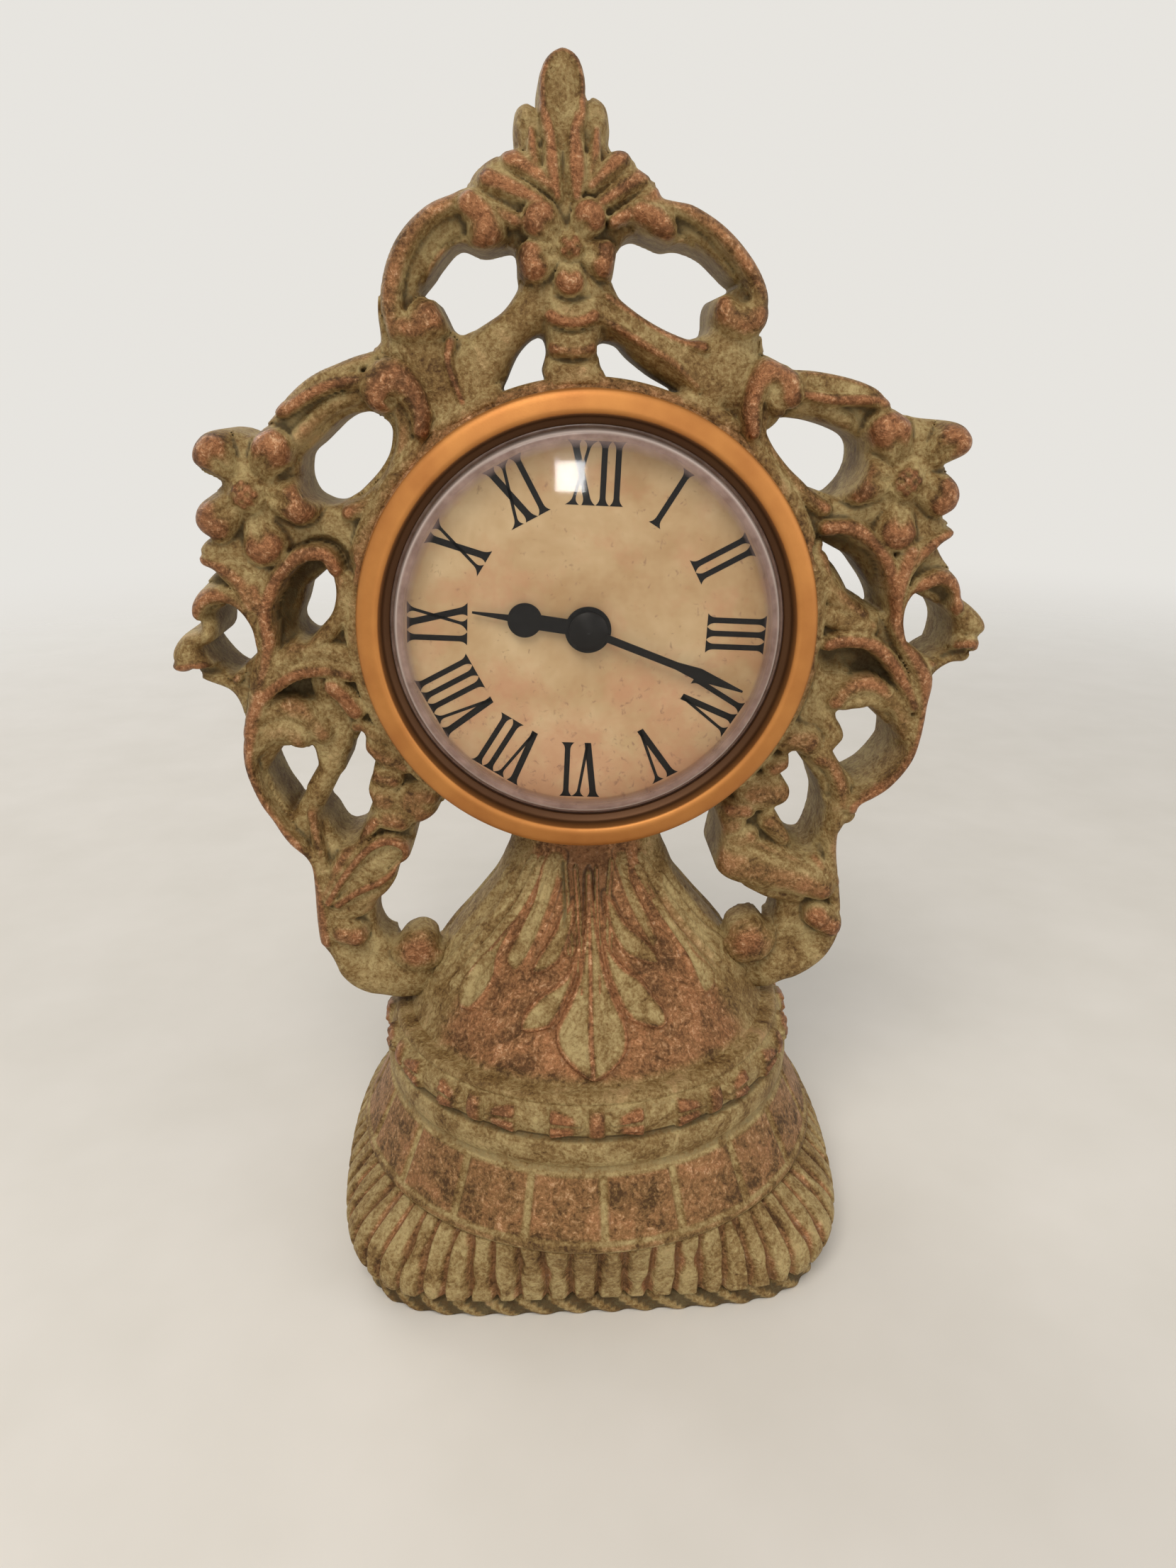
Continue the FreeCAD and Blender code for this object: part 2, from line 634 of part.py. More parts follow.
def base():
    """The base, from its square foot to the round disc on top."""
    wires = []
    for up, swell, roundness in BASE_SHARES:
        width = (size("foot_width") + swell * (size("waist_width") - size("foot_width"))) / 2
        depth = (size("foot_depth") + swell * (size("waist_depth") - size("foot_depth"))) / 2
        wires.append(rounded_square_wire(width, depth, roundness, up * size("disc_height - disc_edge")))
    return Part.makeLoft(wires, True, True)


def slanted_tools(count, radius, foot, foot_height, top, top_height):
    """Round tools laid evenly about the clock's axis, each from its foot reach to its top reach."""
    made = []
    for i in range(count):
        angle = 2 * math.pi * (i + HALF_TURN_SHARE) / count
        start = FreeCAD.Vector(foot(angle) * math.cos(angle), foot(angle) * math.sin(angle), foot_height)
        end = FreeCAD.Vector(top * math.cos(angle), top * math.sin(angle), top_height)
        made.append(Part.makeCylinder(radius, (end - start).Length, start, end - start))
    return made


def waist_reach(angle):
    """How far out a flute's tool starts, past the rounded square at the waist."""
    width = math.cos(angle) / (size("waist_width") / 2)
    depth = math.sin(angle) / (size("waist_depth") / 2)
    reach = (abs(width) ** SQUARE_POWER + abs(depth) ** SQUARE_POWER) ** (-1 / SQUARE_POWER)
    return reach + size("flute_radius - flute_cut")


def flutes():
    """The upright hollows round the base."""
    top = size("disc_radius - disc_overhang + flute_radius - flute_cut")
    return slanted_tools(int(size("flute_count")), size("flute_radius"), waist_reach, size("foot_band"),
                         top, size("disc_height - disc_edge"))


def grooves():
    """The grooves that run up the cone."""
    lift = size("groove_radius - groove_cut")
    foot = size("disc_radius - groove_radius") + lift
    return slanted_tools(int(size("groove_count")), size("groove_radius"), lambda angle: foot,
                         size("disc_height + disc_edge + groove_radius"), size("collar_radius") + lift,
                         size("collar_height") + lift)


def collar():
    """Disc, cone, plain collar and beaded band, turned about the clock's axis."""
    profile = (
        ("0", "disc_height - disc_edge"), ("disc_radius", "disc_height - disc_edge"),
        ("disc_radius", "disc_height + disc_edge"), ("collar_radius", "collar_height"),
        ("collar_radius", "band_height"), ("collar_radius - band_inset", "band_height"),
        ("collar_radius - band_inset", "bell_height"), ("0", "bell_height"),
    )
    points = [FreeCAD.Vector(size(across), 0, size(up)) for across, up in profile]
    face = Part.Face(Part.makePolygon(points + points[:1]))
    return face.revolve(FreeCAD.Vector(0, 0, 0), FreeCAD.Vector(0, 0, 1), 360)


def beads():
    """The row of beads round the band."""
    height = size("(band_height + bell_height) / 2")
    reach = size("collar_radius - band_inset")
    count = int(size("bead_count"))
    made = []
    for i in range(count):
        angle = 2 * math.pi * i / count
        place = FreeCAD.Vector(reach * math.cos(angle), reach * math.sin(angle), height)
        made.append(Part.makeSphere(size("bead_radius"), place))
    return made


def pedestal():
    """The fluted base with its grooved cone and beaded band."""
    lower = base().cut(flutes())
    upper = collar().cut(grooves()).fuse(beads())
    return lower.fuse(upper)


def felt_pocket(clearance):
    """The space for the felt under the base."""
    width = size("felt_width") + 2 * clearance
    depth = size("felt_depth") + 2 * clearance
    corner = FreeCAD.Vector(-width / 2, -depth / 2, 0)
    return Part.makeBox(width, depth, size("felt_thickness"), corner)


def cast_frame():
    """The whole one-piece casting."""
    plates, holes = openwork()
    front = size(FRAME_FRONT)
    back = size("frame_thickness / 2 + ring_back_depth")
    ring = axle(0, 0, size("ring_radius"), front, back)
    bore = axle(0, 0, size("bore_radius"), 2 * front, 2 * back)
    plate = plates[0].fuse(plates[1:]).cut(holes)
    studs = [stud(share, share[2] * size("petal_radius")) for share in PETAL_SHARES]
    studs += [stud(share, share[2] * size("knob_radius")) for share in KNOB_SHARES]
    studs += [stud(share, share[2] * size("knob_radius")) for share in LEAF_SHARES]
    stems = [stem(shares) for shares in STEM_SHARES]
    solid = plate.fuse(stems).fuse(studs + [ring, bell()])
    solid = solid.fuse(pedestal())
    solid = solid.cut([bore, felt_pocket(size("felt_clearance"))])
    return shaped("cast_frame", solid.Solids[0])


def felt_pad():
    """The felt under the base, flush with the foot."""
    return shaped("felt_pad", felt_pocket(0))


# The insert

def bezel():
    """The gold ring, rolled over the lens."""
    front = f"{FRAME_FRONT} - bezel_height"
    inner = "flange_radius + bezel_clearance"
    return turned("bezel", (
        (inner, FRAME_FRONT), ("bezel_radius", FRAME_FRONT),
        ("bezel_radius", f"{FRAME_FRONT} - bezel_side"),
        ("bezel_radius - bezel_round_inset", f"{front} + bezel_round_drop"),
        ("bezel_radius - bezel_lip_width", front), ("bezel_radius - bezel_crest_inset", front),
        ("bezel_opening + bezel_lip_width", f"{FRAME_FRONT} - bezel_cone_reach"),
        ("bezel_opening", f"{LENS_RIM_FRONT} - bezel_lip"), ("bezel_opening", LENS_RIM_FRONT),
        (inner, LENS_RIM_FRONT),
    ))


def dome_arc(radius, edge_depth, apex_depth):
    """The edge of a dome in the turning plane, from its rim to its apex on the axis."""
    rise = abs(apex_depth - edge_depth)
    ball = (radius ** 2 + rise ** 2) / (2 * rise)
    lean = math.asin(radius / ball) / 2
    middle = FreeCAD.Vector(ball * math.sin(lean), apex_depth + ball * (1 - math.cos(lean)), 0)
    return Part.Arc(FreeCAD.Vector(radius, edge_depth, 0), middle, FreeCAD.Vector(0, apex_depth, 0)).toShape()


def turned_shape(edges):
    """A solid turned about the Y axis from the edges of its half section."""
    face = Part.Face(Part.Wire(Part.__sortEdges__(edges)))
    return face.revolve(FreeCAD.Vector(0, 0, 0), FreeCAD.Vector(0, 1, 0), 360)


def line_edges(points):
    """Straight edges through the points of an open path."""
    return [Part.LineSegment(a, b).toShape() for a, b in zip(points, points[1:])]


def lens():
    """The clear window: a flat rim under the bezel, a step and a low dome."""
    rim = size("flange_radius - bezel_clearance")
    step = size("lens_step_radius")
    inner = step - size("lens_wall")
    back = size(CARD_FRONT)
    rim_front = size(LENS_RIM_FRONT)
    step_front = rim_front - size("lens_step_height")
    inner_front = step_front + size("lens_wall / 2")
    apex = step_front - size("lens_dome")
    outer_dome = dome_arc(step, step_front, apex)
    inner_dome = dome_arc(inner, inner_front, apex + size("lens_thickness"))
    corners = ((inner, inner_front), (inner, back), (rim, back), (rim, rim_front), (step, rim_front),
               (step, step_front))
    path = [FreeCAD.Vector(radius, depth, 0) for radius, depth in corners]
    axis = Part.LineSegment(FreeCAD.Vector(0, apex, 0), FreeCAD.Vector(0, apex + size("lens_thickness"), 0))
    edges = line_edges(path) + [outer_dome, inner_dome, axis.toShape()]
    return shaped("lens", turned_shape(edges), lifted=True)


def insert_housing():
    """The plastic cup, with a flange in front, a square window behind and two tabs that hold the movement."""
    back = MOVEMENT_BACK
    flange = rod("housing_flange", "flange_radius", DIAL_BACK, FRAME_FRONT)
    cup = rod("housing_cup", "housing_radius", DIAL_BACK, back)
    room_back = f"{back} - housing_back"
    room = rod("housing_room", "housing_radius - housing_wall", DIAL_BACK, room_back)
    half = "movement_width / 2 + housing_clearance"
    square = block("housing_square", f"-({half})", half, room_back, back, f"-({half})", half)
    corner_reach = rod("housing_corner_reach", "housing_radius - housing_wall", room_back, back)
    window = shared("housing_window", square, corner_reach)
    hollow = cut("housing_hollow", joined("housing_outside", flange, cup), room, window)
    tabs = []
    for side, sign in (("left", "-"), ("right", "")):
        ends = (f"{sign}(movement_width / 2 - tab_overlap)", f"{sign}(movement_width / 2 + tab_root)")
        low, high = sorted(ends, key=size)
        tabs.append(block(f"housing_tab_{side}", low, high, back, f"{back} + tab_thickness",
                          "-tab_width / 2", "tab_width / 2"))
    return joined("insert_housing", hollow, *tabs)


def grip_ring():
    """The rubber ring between the cup and the bore, with a groove round its middle."""
    outer = "bore_radius - grip_clearance"
    front = f"{FRAME_FRONT} + grip_clearance"
    back = f"{front} + grip_length"
    groove = f"{outer} - grip_groove"
    return turned("grip_ring", (
        ("housing_radius", front), (outer, front), (outer, f"{front} + grip_land"),
        (groove, f"{front} + grip_land"), (groove, f"{back} - grip_land"), (outer, f"{back} - grip_land"),
        (outer, back), ("housing_radius", back),
    ))


# The hands, drawn pointing up from the Y axis and then turned clockwise

def blade(widths, front, back):
    """A straight-edged flat blade from pairs of height and full width."""
    right = [FreeCAD.Vector(wide / 2, front, up) for up, wide in widths]
    left = [FreeCAD.Vector(-wide / 2, front, up) for up, wide in reversed(widths)]
    face = Part.Face(Part.makePolygon(right + left + right[:1]))
    return face.extrude(FreeCAD.Vector(0, back - front, 0))


def pillar(radius, up, front, back):
    """A flat round piece at a height above the Y axis."""
    return Part.makeCylinder(radius, back - front, FreeCAD.Vector(0, front, up), FreeCAD.Vector(0, 1, 0))


def hour_hand():
    """The hour hand: hub, shaft, round disc and spike."""
    front, back = size(HOUR_HAND_FRONT), size(HOUR_HAND_BACK)
    reach, radius = size("hour_disc_reach"), size("hour_disc_radius")
    shaft = blade(((0, size("hour_shaft_width")), (reach, size("hour_shaft_width"))), front, back)
    spike = blade(((reach, size("hour_shaft_width")), (reach + radius, size("hour_spike_width")),
                   (size("hour_hand_length"), size("hand_tip_width"))), front, back)
    hub = pillar(size("hour_hub_radius"), 0, front, back)
    solid = hub.fuse([shaft, spike, pillar(radius, reach, front, back)])
    solid = solid.cut(pillar(size("hour_pipe_radius"), 0, front, back)).removeSplitter()
    return shaped("hour_hand", solid, lifted=True, clockwise=size("hour_hand_angle"))


def minute_hand():
    """The minute hand: hub, thin shaft and a lance-shaped blade."""
    front, back = size(MINUTE_HAND_FRONT), size(MINUTE_HAND_BACK)
    lance = blade(((0, size("minute_shaft_width")), (size("minute_blade_start"), size("minute_shaft_width")),
                   (size("minute_blade_reach"), size("minute_blade_width")),
                   (size("minute_hand_length"), size("hand_tip_width"))), front, back)
    solid = pillar(size("minute_hub_radius"), 0, front, back).fuse(lance)
    solid = solid.cut(pillar(size("minute_journal_radius"), 0, front, back)).removeSplitter()
    return shaped("minute_hand", solid, lifted=True, clockwise=size("minute_hand_angle"))


def hand_cap():
    """The domed cap over the end of the arbor."""
    back = size(MINUTE_HAND_FRONT)
    rim = back - size("cap_rim")
    front = back - size("cap_height")
    radius = size("cap_radius")
    dome = dome_arc(radius, rim, front)
    corners = ((radius, rim), (radius, back), (0, back), (0, front))
    path = [FreeCAD.Vector(aside, depth, 0) for aside, depth in corners]
    return shaped("hand_cap", turned_shape(line_edges(path) + [dome]), lifted=True)


# The wheels: how far a tooth goes in and out from the pitch circle against the module, and how far its
# foot and crest lie either side of its middle against the pitch
GEAR_SHARES = {"root": 1.15, "tip": 0.8, "foot": 0.3, "crest": 0.09}


def gear(teeth, module, x, z, phase, front, back):
    """A toothed wheel with tapered teeth, one of them centred at the phase angle from +X towards +Z."""
    pitch = 2 * math.pi / teeth
    root = module * (teeth / 2 - GEAR_SHARES["root"])
    tip = module * (teeth / 2 + GEAR_SHARES["tip"])
    points = []
    for i in range(teeth):
        middle = phase + i * pitch
        for radius, aside in ((root, -GEAR_SHARES["foot"]), (tip, -GEAR_SHARES["crest"]),
                              (tip, GEAR_SHARES["crest"]), (root, GEAR_SHARES["foot"])):
            angle = middle + aside * pitch
            points.append(FreeCAD.Vector(radius * math.cos(angle), 0, radius * math.sin(angle)))
    face = Part.Face(Part.makePolygon(points + points[:1]))
    wheel = face.extrude(FreeCAD.Vector(0, back - front, 0))
    wheel.translate(FreeCAD.Vector(x, front, size("dial_height") + z))
    return wheel


def teeth_of(name):
    """A whole number of teeth from the sheet."""
    return int(size(name))


def facing_gap(bearing, teeth):
    """The phase that turns a gap back along the line of centres."""
    return bearing + math.pi + math.pi / teeth


def plane(rule):
    """A depth behind the movement's front face, as a coordinate."""
    return size(deep(rule))


def wheel_pair(label, place, wheel, pinion):
    """An arbor with a wheel and a pinion, running from the case's blind bearing to the bridge."""
    x, z = size(f"{place}_x"), size(f"{place}_z")
    front = plane("case_front - pivot_depth + pivot_end_play")
    back = plane("bridge_level + bridge_thickness")
    solid = axle(x, z, size("arbor_radius"), front, back)
    for teeth, module, phase, start, length in (wheel, pinion):
        solid = solid.fuse(gear(teeth, module, x, z, phase, plane(start), plane(f"{start} + {length}")))
    return shaped(label, solid.removeSplitter())


def third_wheel():
    """The wheel between the centre wheel and the fourth wheel."""
    pinion = (teeth_of("pinion_teeth"), size("centre_module"),
              facing_gap(math.radians(size("third_bearing")), teeth_of("pinion_teeth")),
              "centre_level - pinion_extra", "third_level - centre_level + pinion_extra")
    wheel = (teeth_of("third_teeth"), size("third_module"), math.radians(size("fourth_bearing")),
             "third_level", "wheel_thickness")
    return wheel_pair("third_wheel", "third", wheel, pinion)


def fourth_wheel():
    """The wheel that turns once a minute."""
    pinion = (teeth_of("pinion_teeth"), size("third_module"),
              facing_gap(math.radians(size("fourth_bearing")), teeth_of("pinion_teeth")),
              "third_level - pinion_extra", "fourth_level - third_level + pinion_extra")
    wheel = (teeth_of("fourth_teeth"), size("fourth_module"), math.radians(size("fifth_bearing")),
             "fourth_level", "wheel_thickness")
    return wheel_pair("fourth_wheel", "fourth", wheel, pinion)


def fifth_wheel():
    """The wheel next to the rotor."""
    pinion = (teeth_of("pinion_teeth"), size("fourth_module"),
              facing_gap(math.radians(size("fifth_bearing")), teeth_of("pinion_teeth")),
              "fourth_level - pinion_extra", "wheel_thickness + pinion_extra * 2")
    wheel = (teeth_of("fifth_teeth"), size("fifth_module"), math.radians(size("rotor_bearing")),
             "fifth_level", "wheel_thickness")
    return wheel_pair("fifth_wheel", "fifth", wheel, pinion)


def rotor():
    """The magnet and its pinion."""
    x, z = size("rotor_x"), size("rotor_z")
    teeth = teeth_of("pinion_teeth")
    phase = facing_gap(math.radians(size("rotor_bearing")), teeth)
    solid = axle(x, z, size("arbor_radius"), plane("case_front - pivot_depth + pivot_end_play"),
                 plane("bridge_level + bridge_thickness"))
    pinion = gear(teeth, size("fifth_module"), x, z, phase, plane("fifth_level - pinion_extra"),
                  plane("magnet_level"))
    magnet = axle(x, z, size("magnet_radius"), plane("magnet_level"), plane("magnet_level + magnet_length"))
    return shaped("rotor", solid.fuse([pinion, magnet]).removeSplitter())


def minute_arbor():
    """The arbor that carries the minute hand, with the cannon pinion on it."""
    journal = size(MINUTE_HAND_BACK)
    front = size(MINUTE_HAND_FRONT)
    solid = axle(0, 0, size("minute_arbor_radius"), journal, plane("bridge_level + bridge_thickness"))
    tip = axle(0, 0, size("minute_journal_radius"), front, journal)
    bearing = math.radians(size("transfer_bearing"))
    pinion = gear(teeth_of("cannon_teeth"), size("cannon_module"), 0, 0, bearing,
                  plane("transfer_level - pinion_extra"),
                  plane("transfer_level + wheel_thickness + pinion_extra"))
    return shaped("minute_arbor", solid.fuse([tip, pinion]).removeSplitter())


def centre_wheel():
    """The wheel that drives the arbor through its friction bush."""
    wheel = gear(teeth_of("centre_teeth"), size("centre_module"), 0, 0, math.radians(size("third_bearing")),
                 plane("centre_level"), plane("centre_level + wheel_thickness"))
    bore = axle(0, 0, size("minute_arbor_radius + fit_clearance"), plane("centre_level"),
                plane("centre_level + wheel_thickness"))
    return shaped("centre_wheel", wheel.cut(bore))


def transfer_wheel():
    """The wheel between the cannon pinion and the hour wheel."""
    x, z = size("transfer_x"), size("transfer_z")
    bearing = math.radians(size("transfer_bearing"))
    wheel = gear(teeth_of("transfer_teeth"), size("cannon_module"), x, z,
                 facing_gap(bearing, teeth_of("transfer_teeth")),
                 plane("transfer_level"), plane("transfer_level + wheel_thickness"))
    pinion = gear(teeth_of("transfer_pinion_teeth"), size("hour_module"), x, z,
                  facing_gap(bearing, teeth_of("transfer_pinion_teeth")),
                  plane("hour_wheel_level - pinion_extra / 2"), plane("transfer_level"))
    arbor = axle(x, z, size("arbor_radius"), plane("case_front - pivot_depth + pivot_end_play"),
                 plane("bridge_level + bridge_thickness"))
    return shaped("transfer_wheel", arbor.fuse([wheel, pinion]).removeSplitter())


def hour_wheel():
    """The hour wheel and its pipe, which carries the hour hand."""
    start, end = plane("hour_wheel_level"), plane("hour_wheel_level + wheel_thickness")
    wheel = gear(teeth_of("hour_teeth"), size("hour_module"), 0, 0, math.radians(size("transfer_bearing")),
                 start, end)
    pipe = axle(0, 0, size("hour_pipe_radius"), size(HOUR_HAND_FRONT), end)
    bore = axle(0, 0, size("minute_arbor_radius + fit_clearance"), size(HOUR_HAND_FRONT), end)
    return shaped("hour_wheel", wheel.fuse(pipe).cut(bore).removeSplitter())


def knob_phase():
    """The phase that puts the knob's gear in mesh with the transfer wheel."""
    wheel_pitch = 2 * math.pi / teeth_of("transfer_teeth")
    knob_pitch = 2 * math.pi / teeth_of("knob_teeth")
    wheel_phase = facing_gap(math.radians(size("transfer_bearing")), teeth_of("transfer_teeth"))
    bearing = math.radians(size("knob_bearing"))
    passed = ((bearing - wheel_phase) % wheel_pitch) / wheel_pitch
    return bearing + math.pi + passed * knob_pitch + knob_pitch / 2


def set_knob():
    """The knob behind the lid that sets the hands, with its shaft and gear."""
    x, z = size("knob_x"), size("knob_z")
    shaft = axle(x, z, size("knob_shaft_radius"), plane("case_front + pivot_end_play"),
                 plane("movement_depth + knob_gap"))
    wheel = gear(teeth_of("knob_teeth"), size("cannon_module"), x, z, knob_phase(),
                 plane("transfer_level"), plane("transfer_level + wheel_thickness"))
    ribs = teeth_of("knob_ribs")
    rib_module = 2 * size("knob_radius_outer") / (ribs + 2 * GEAR_SHARES["tip"])
    head = gear(ribs, rib_module, x, z, 0, plane("movement_depth + knob_gap"),
                plane("movement_depth + knob_gap + knob_height"))
    return shaped("set_knob", shaft.fuse([wheel, head]).removeSplitter())


# The movement's box and its fixed parts

BEARINGS = ("third", "fourth", "fifth", "rotor", "transfer")
POST_PLACES = (("-post_offset", "-post_low"), ("post_offset", "-post_low"),
               ("-post_offset", "post_high"), ("post_offset", "post_high"))


def rounded_box(name, half, reach, front, back, low, high):
    """A square block with its corners rounded by a circle about the dial's axis."""
    square = block(f"{name}_square", f"-({half})", half, front, back, low, high)
    return shared(f"{name}_rounded", square, rod(f"{name}_reach", reach, front, back))


def posts(name, front, back):
    """Four short posts between the case and the bridge, or the bridge and the lid."""
    return [rod(f"{name}_post_{i}", "post_radius", front, back, across, up)
            for i, (across, up) in enumerate(POST_PLACES)]


def bearing_holes(name, front, back):
    """Round bearings for the ends of the arbors."""
    radius = "arbor_radius + fit_clearance"
    return [rod(f"{name}_bearing_{place}", radius, front, back, f"{place}_x", f"{place}_z")
            for place in BEARINGS]


def movement_case():
    """The front half of the movement's box: train room, battery trough, bush, bearings and posts."""
    half = "movement_width / 2"
    inner = f"{half} - case_wall"
    inner_reach = "movement_corner_reach - case_corner_wall"
    back = deep("movement_depth")
    outside = rounded_box("case", half, "movement_corner_reach", DIAL_BACK, back, f"-({half})", half)
    room = rounded_box("case_room", inner, inner_reach, deep("case_front"), back, "-divider_drop", inner)
    trough = rounded_box("case_trough", inner, inner_reach, deep("trough_floor"), back,
                         f"-({inner})", "-divider_drop - divider_wall")
    seat = block("case_seat", f"-({half})", half, deep("movement_depth - lid_thickness"), back,
                 "-divider_drop - divider_wall", half)
    bush = rod("case_bush", "bush_radius", f"{DIAL_BACK} - bush_length", DIAL_BACK)
    bore = rod("case_bore", "hour_pipe_radius + fit_clearance", f"{DIAL_BACK} - bush_length",
               deep("case_front"))
    bearings = bearing_holes("case", deep("case_front - pivot_depth"), deep("case_front"))
    hollow = cut("case_hollow", joined("case_outside", outside, bush), room, trough, seat, bore, *bearings)
    bosses = [
        rod("case_stator_boss_left", "boss_radius", deep("case_front"), deep("stator_level"),
            "-stator_left + stator_boss_inset", "stator_low + stator_boss_inset"),
        rod("case_stator_boss_right", "boss_radius", deep("case_front"), deep("stator_level"),
            "stator_right - stator_boss_inset", "stator_high - boss_radius"),
        rod("case_board_boss_left", "boss_radius", deep("case_front"), deep("board_level"),
            "board_left + board_boss_inset", "board_low + board_boss_inset"),
        rod("case_board_boss_right", "boss_radius", deep("case_front"), deep("board_level"),
            "board_right - board_boss_inset - boss_radius", "board_low + board_boss_inset"),
    ]
    return joined("movement_case", hollow, *posts("case", deep("case_front"), deep("bridge_level")), *bosses)


def train_bridge():
    """The plate that carries the back ends of the arbors."""
    front, back = deep("bridge_level"), deep("bridge_level + bridge_thickness")
    half = "movement_width / 2 - case_wall - bridge_clearance"
    reach = "movement_corner_reach - case_corner_wall - bridge_clearance"
    plate = rounded_box("bridge", half, reach, front, back, "-divider_drop + bridge_clearance", half)
    holes = bearing_holes("bridge", front, back)
    holes.append(rod("bridge_bearing_minute", "minute_arbor_radius + fit_clearance", front, back))
    holes.append(rod("bridge_knob_hole", "knob_shaft_radius + fit_clearance", front, back, "knob_x", "knob_z"))
    return cut("train_bridge", plate, *holes)


def back_cover():
    """The lid over the train, with posts down to the bridge and the knob's hole."""
    half = "movement_width / 2"
    front, back = deep("movement_depth - lid_thickness"), deep("movement_depth")
    low = "-divider_drop - divider_wall"
    plate = rounded_box("lid", half, "movement_corner_reach", front, back, low, half)
    legs = posts("lid", deep("bridge_level + bridge_thickness"), front)
    hole = rod("lid_knob_hole", "knob_shaft_radius + fit_clearance", front, back, "knob_x", "knob_z")
    return joined("back_cover", cut("lid_drilled", plate, hole), *legs)


def stator():
    """The iron circuit round the rotor, with the bar that passes through the coil."""
    front, back = deep("stator_level"), deep("stator_level + stator_thickness")
    plate = block("stator_plate", "-stator_left", "stator_right", front, back, "stator_low", "stator_high")
    window = block("stator_window", "-stator_left + stator_width", "-pole_side / 2 + rotor_x", front, back,
                   "stator_low + stator_width", "stator_high - core_width")
    pole = block("stator_pole", "rotor_x - pole_side / 2", "rotor_x + pole_side / 2", front, back,
                 "rotor_z - pole_side / 2", "rotor_z + pole_side / 2")
    hole = rod("stator_hole", "magnet_radius + stator_gap", front, back, "rotor_x", "rotor_z")
    open_plate = cut("stator_open", plate, window)
    return cut("stator", joined("stator_poles", open_plate, pole), hole)


def coil():
    """The wound coil round the stator's bar."""
    level = deep("stator_level + stator_thickness / 2")
    up = "stator_high - core_width / 2"
    winding = bar("coil_winding", "coil_radius", "-coil_left", "-coil_right", level, up)
    bore = bar("coil_core_bore", "coil_bore", "-coil_left", "-coil_right", level, up)
    return cut("coil", winding, bore)


def circuit_board():
    """The board with its chip under a round drop of resin."""
    board = block("board_plate", "board_left", "board_right", deep("board_level"),
                  deep("board_level + board_thickness"), "board_low", "board_high")
    chip = rod("board_chip", "chip_radius", deep("board_level + board_thickness"),
               deep("board_level + board_thickness + chip_height"), "board_left + chip_inset",
               "(board_low + board_high) / 2")
    return joined("circuit_board", board, chip)


def quartz_crystal():
    """The small can that lies on the board."""
    return bar("quartz_crystal", "crystal_radius", "board_right - crystal_length - crystal_radius",
               "board_right - crystal_radius", deep("board_level + board_thickness + crystal_radius"),
               "(board_low + board_high) / 2")


def battery():
    """The AA cell with its nub on the right."""
    level, up = deep("battery_level"), "-battery_drop"
    body = bar("battery_body", "battery_radius", "-battery_length / 2",
               "battery_length / 2 - battery_nub_length", level, up)
    nub = bar("battery_nub", "battery_nub_radius", "battery_length / 2 - battery_nub_length",
              "battery_length / 2", level, up)
    return joined("battery", body, nub)


def contact(label, sign):
    """A spring plate in the end of the trough, with a pad that meets the cell."""
    wall = "movement_width / 2 - case_wall"
    low, high = sorted((f"{sign}({wall})", f"{sign}({wall} - contact_thickness)"), key=size)
    level = deep("battery_level")
    plate = block(f"{label}_plate", low, high, f"{level} - contact_width / 2", f"{level} + contact_width / 2",
                  "-battery_drop - contact_height / 2", "-battery_drop + contact_height / 2")
    left, right = sorted((f"{sign}({wall} - contact_thickness)", f"{sign}(battery_length / 2 + contact_gap)"),
                         key=size)
    pad = bar(f"{label}_pad", "contact_pad_radius", left, right, level, "-battery_drop")
    return joined(label, plate, pad)


SUB_PARTS = [
    cast_frame(), felt_pad(), bezel(), lens(), insert_housing(), grip_ring(),
    disc("dial_plate", "flange_radius - dial_inset", "dial_bore", DIAL_BACK, "dial_thickness"),
    disc("dial_card", "flange_radius - card_inset", "dial_bore", CARD_BACK, "card_thickness"),
    hour_hand(), minute_hand(), hand_cap(), minute_arbor(), hour_wheel(), transfer_wheel(), set_knob(),
    centre_wheel(), third_wheel(), fourth_wheel(), fifth_wheel(), rotor(), movement_case(), train_bridge(),
    back_cover(), stator(), coil(), circuit_board(), quartz_crystal(), battery(),
    contact("contact_positive", ""), contact("contact_negative", "-"),
]


def write_parts():
    """Recomputes, checks every feature and writes one STEP file for each sub-part."""
    doc.recompute()
    for thing in doc.Objects:
        if "Invalid" in thing.State or "Error" in thing.State:
            raise RuntimeError(f"{thing.Name}: {thing.State}")
    for part in SUB_PARTS:
        if part.Shape.isNull() or not part.Shape.isValid() or len(part.Shape.Solids) != 1:
            raise RuntimeError(f"{part.Label} isn't one valid solid")
    os.makedirs("parts", exist_ok=True)
    for part in SUB_PARTS:
        part.Shape.exportStep(f"parts/{part.Label}.step")
        print(part.Label, len(part.Shape.Solids), round(part.Shape.Volume, 1))


write_parts()
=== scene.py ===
"""Openwork table clock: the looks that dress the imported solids, worked out in millimetres."""

import json
import logging
import math
from dataclasses import dataclass, field, replace
from enum import Enum
from typing import Any, Sequence

import bpy
import numpy as np
from mathutils import Matrix, Vector


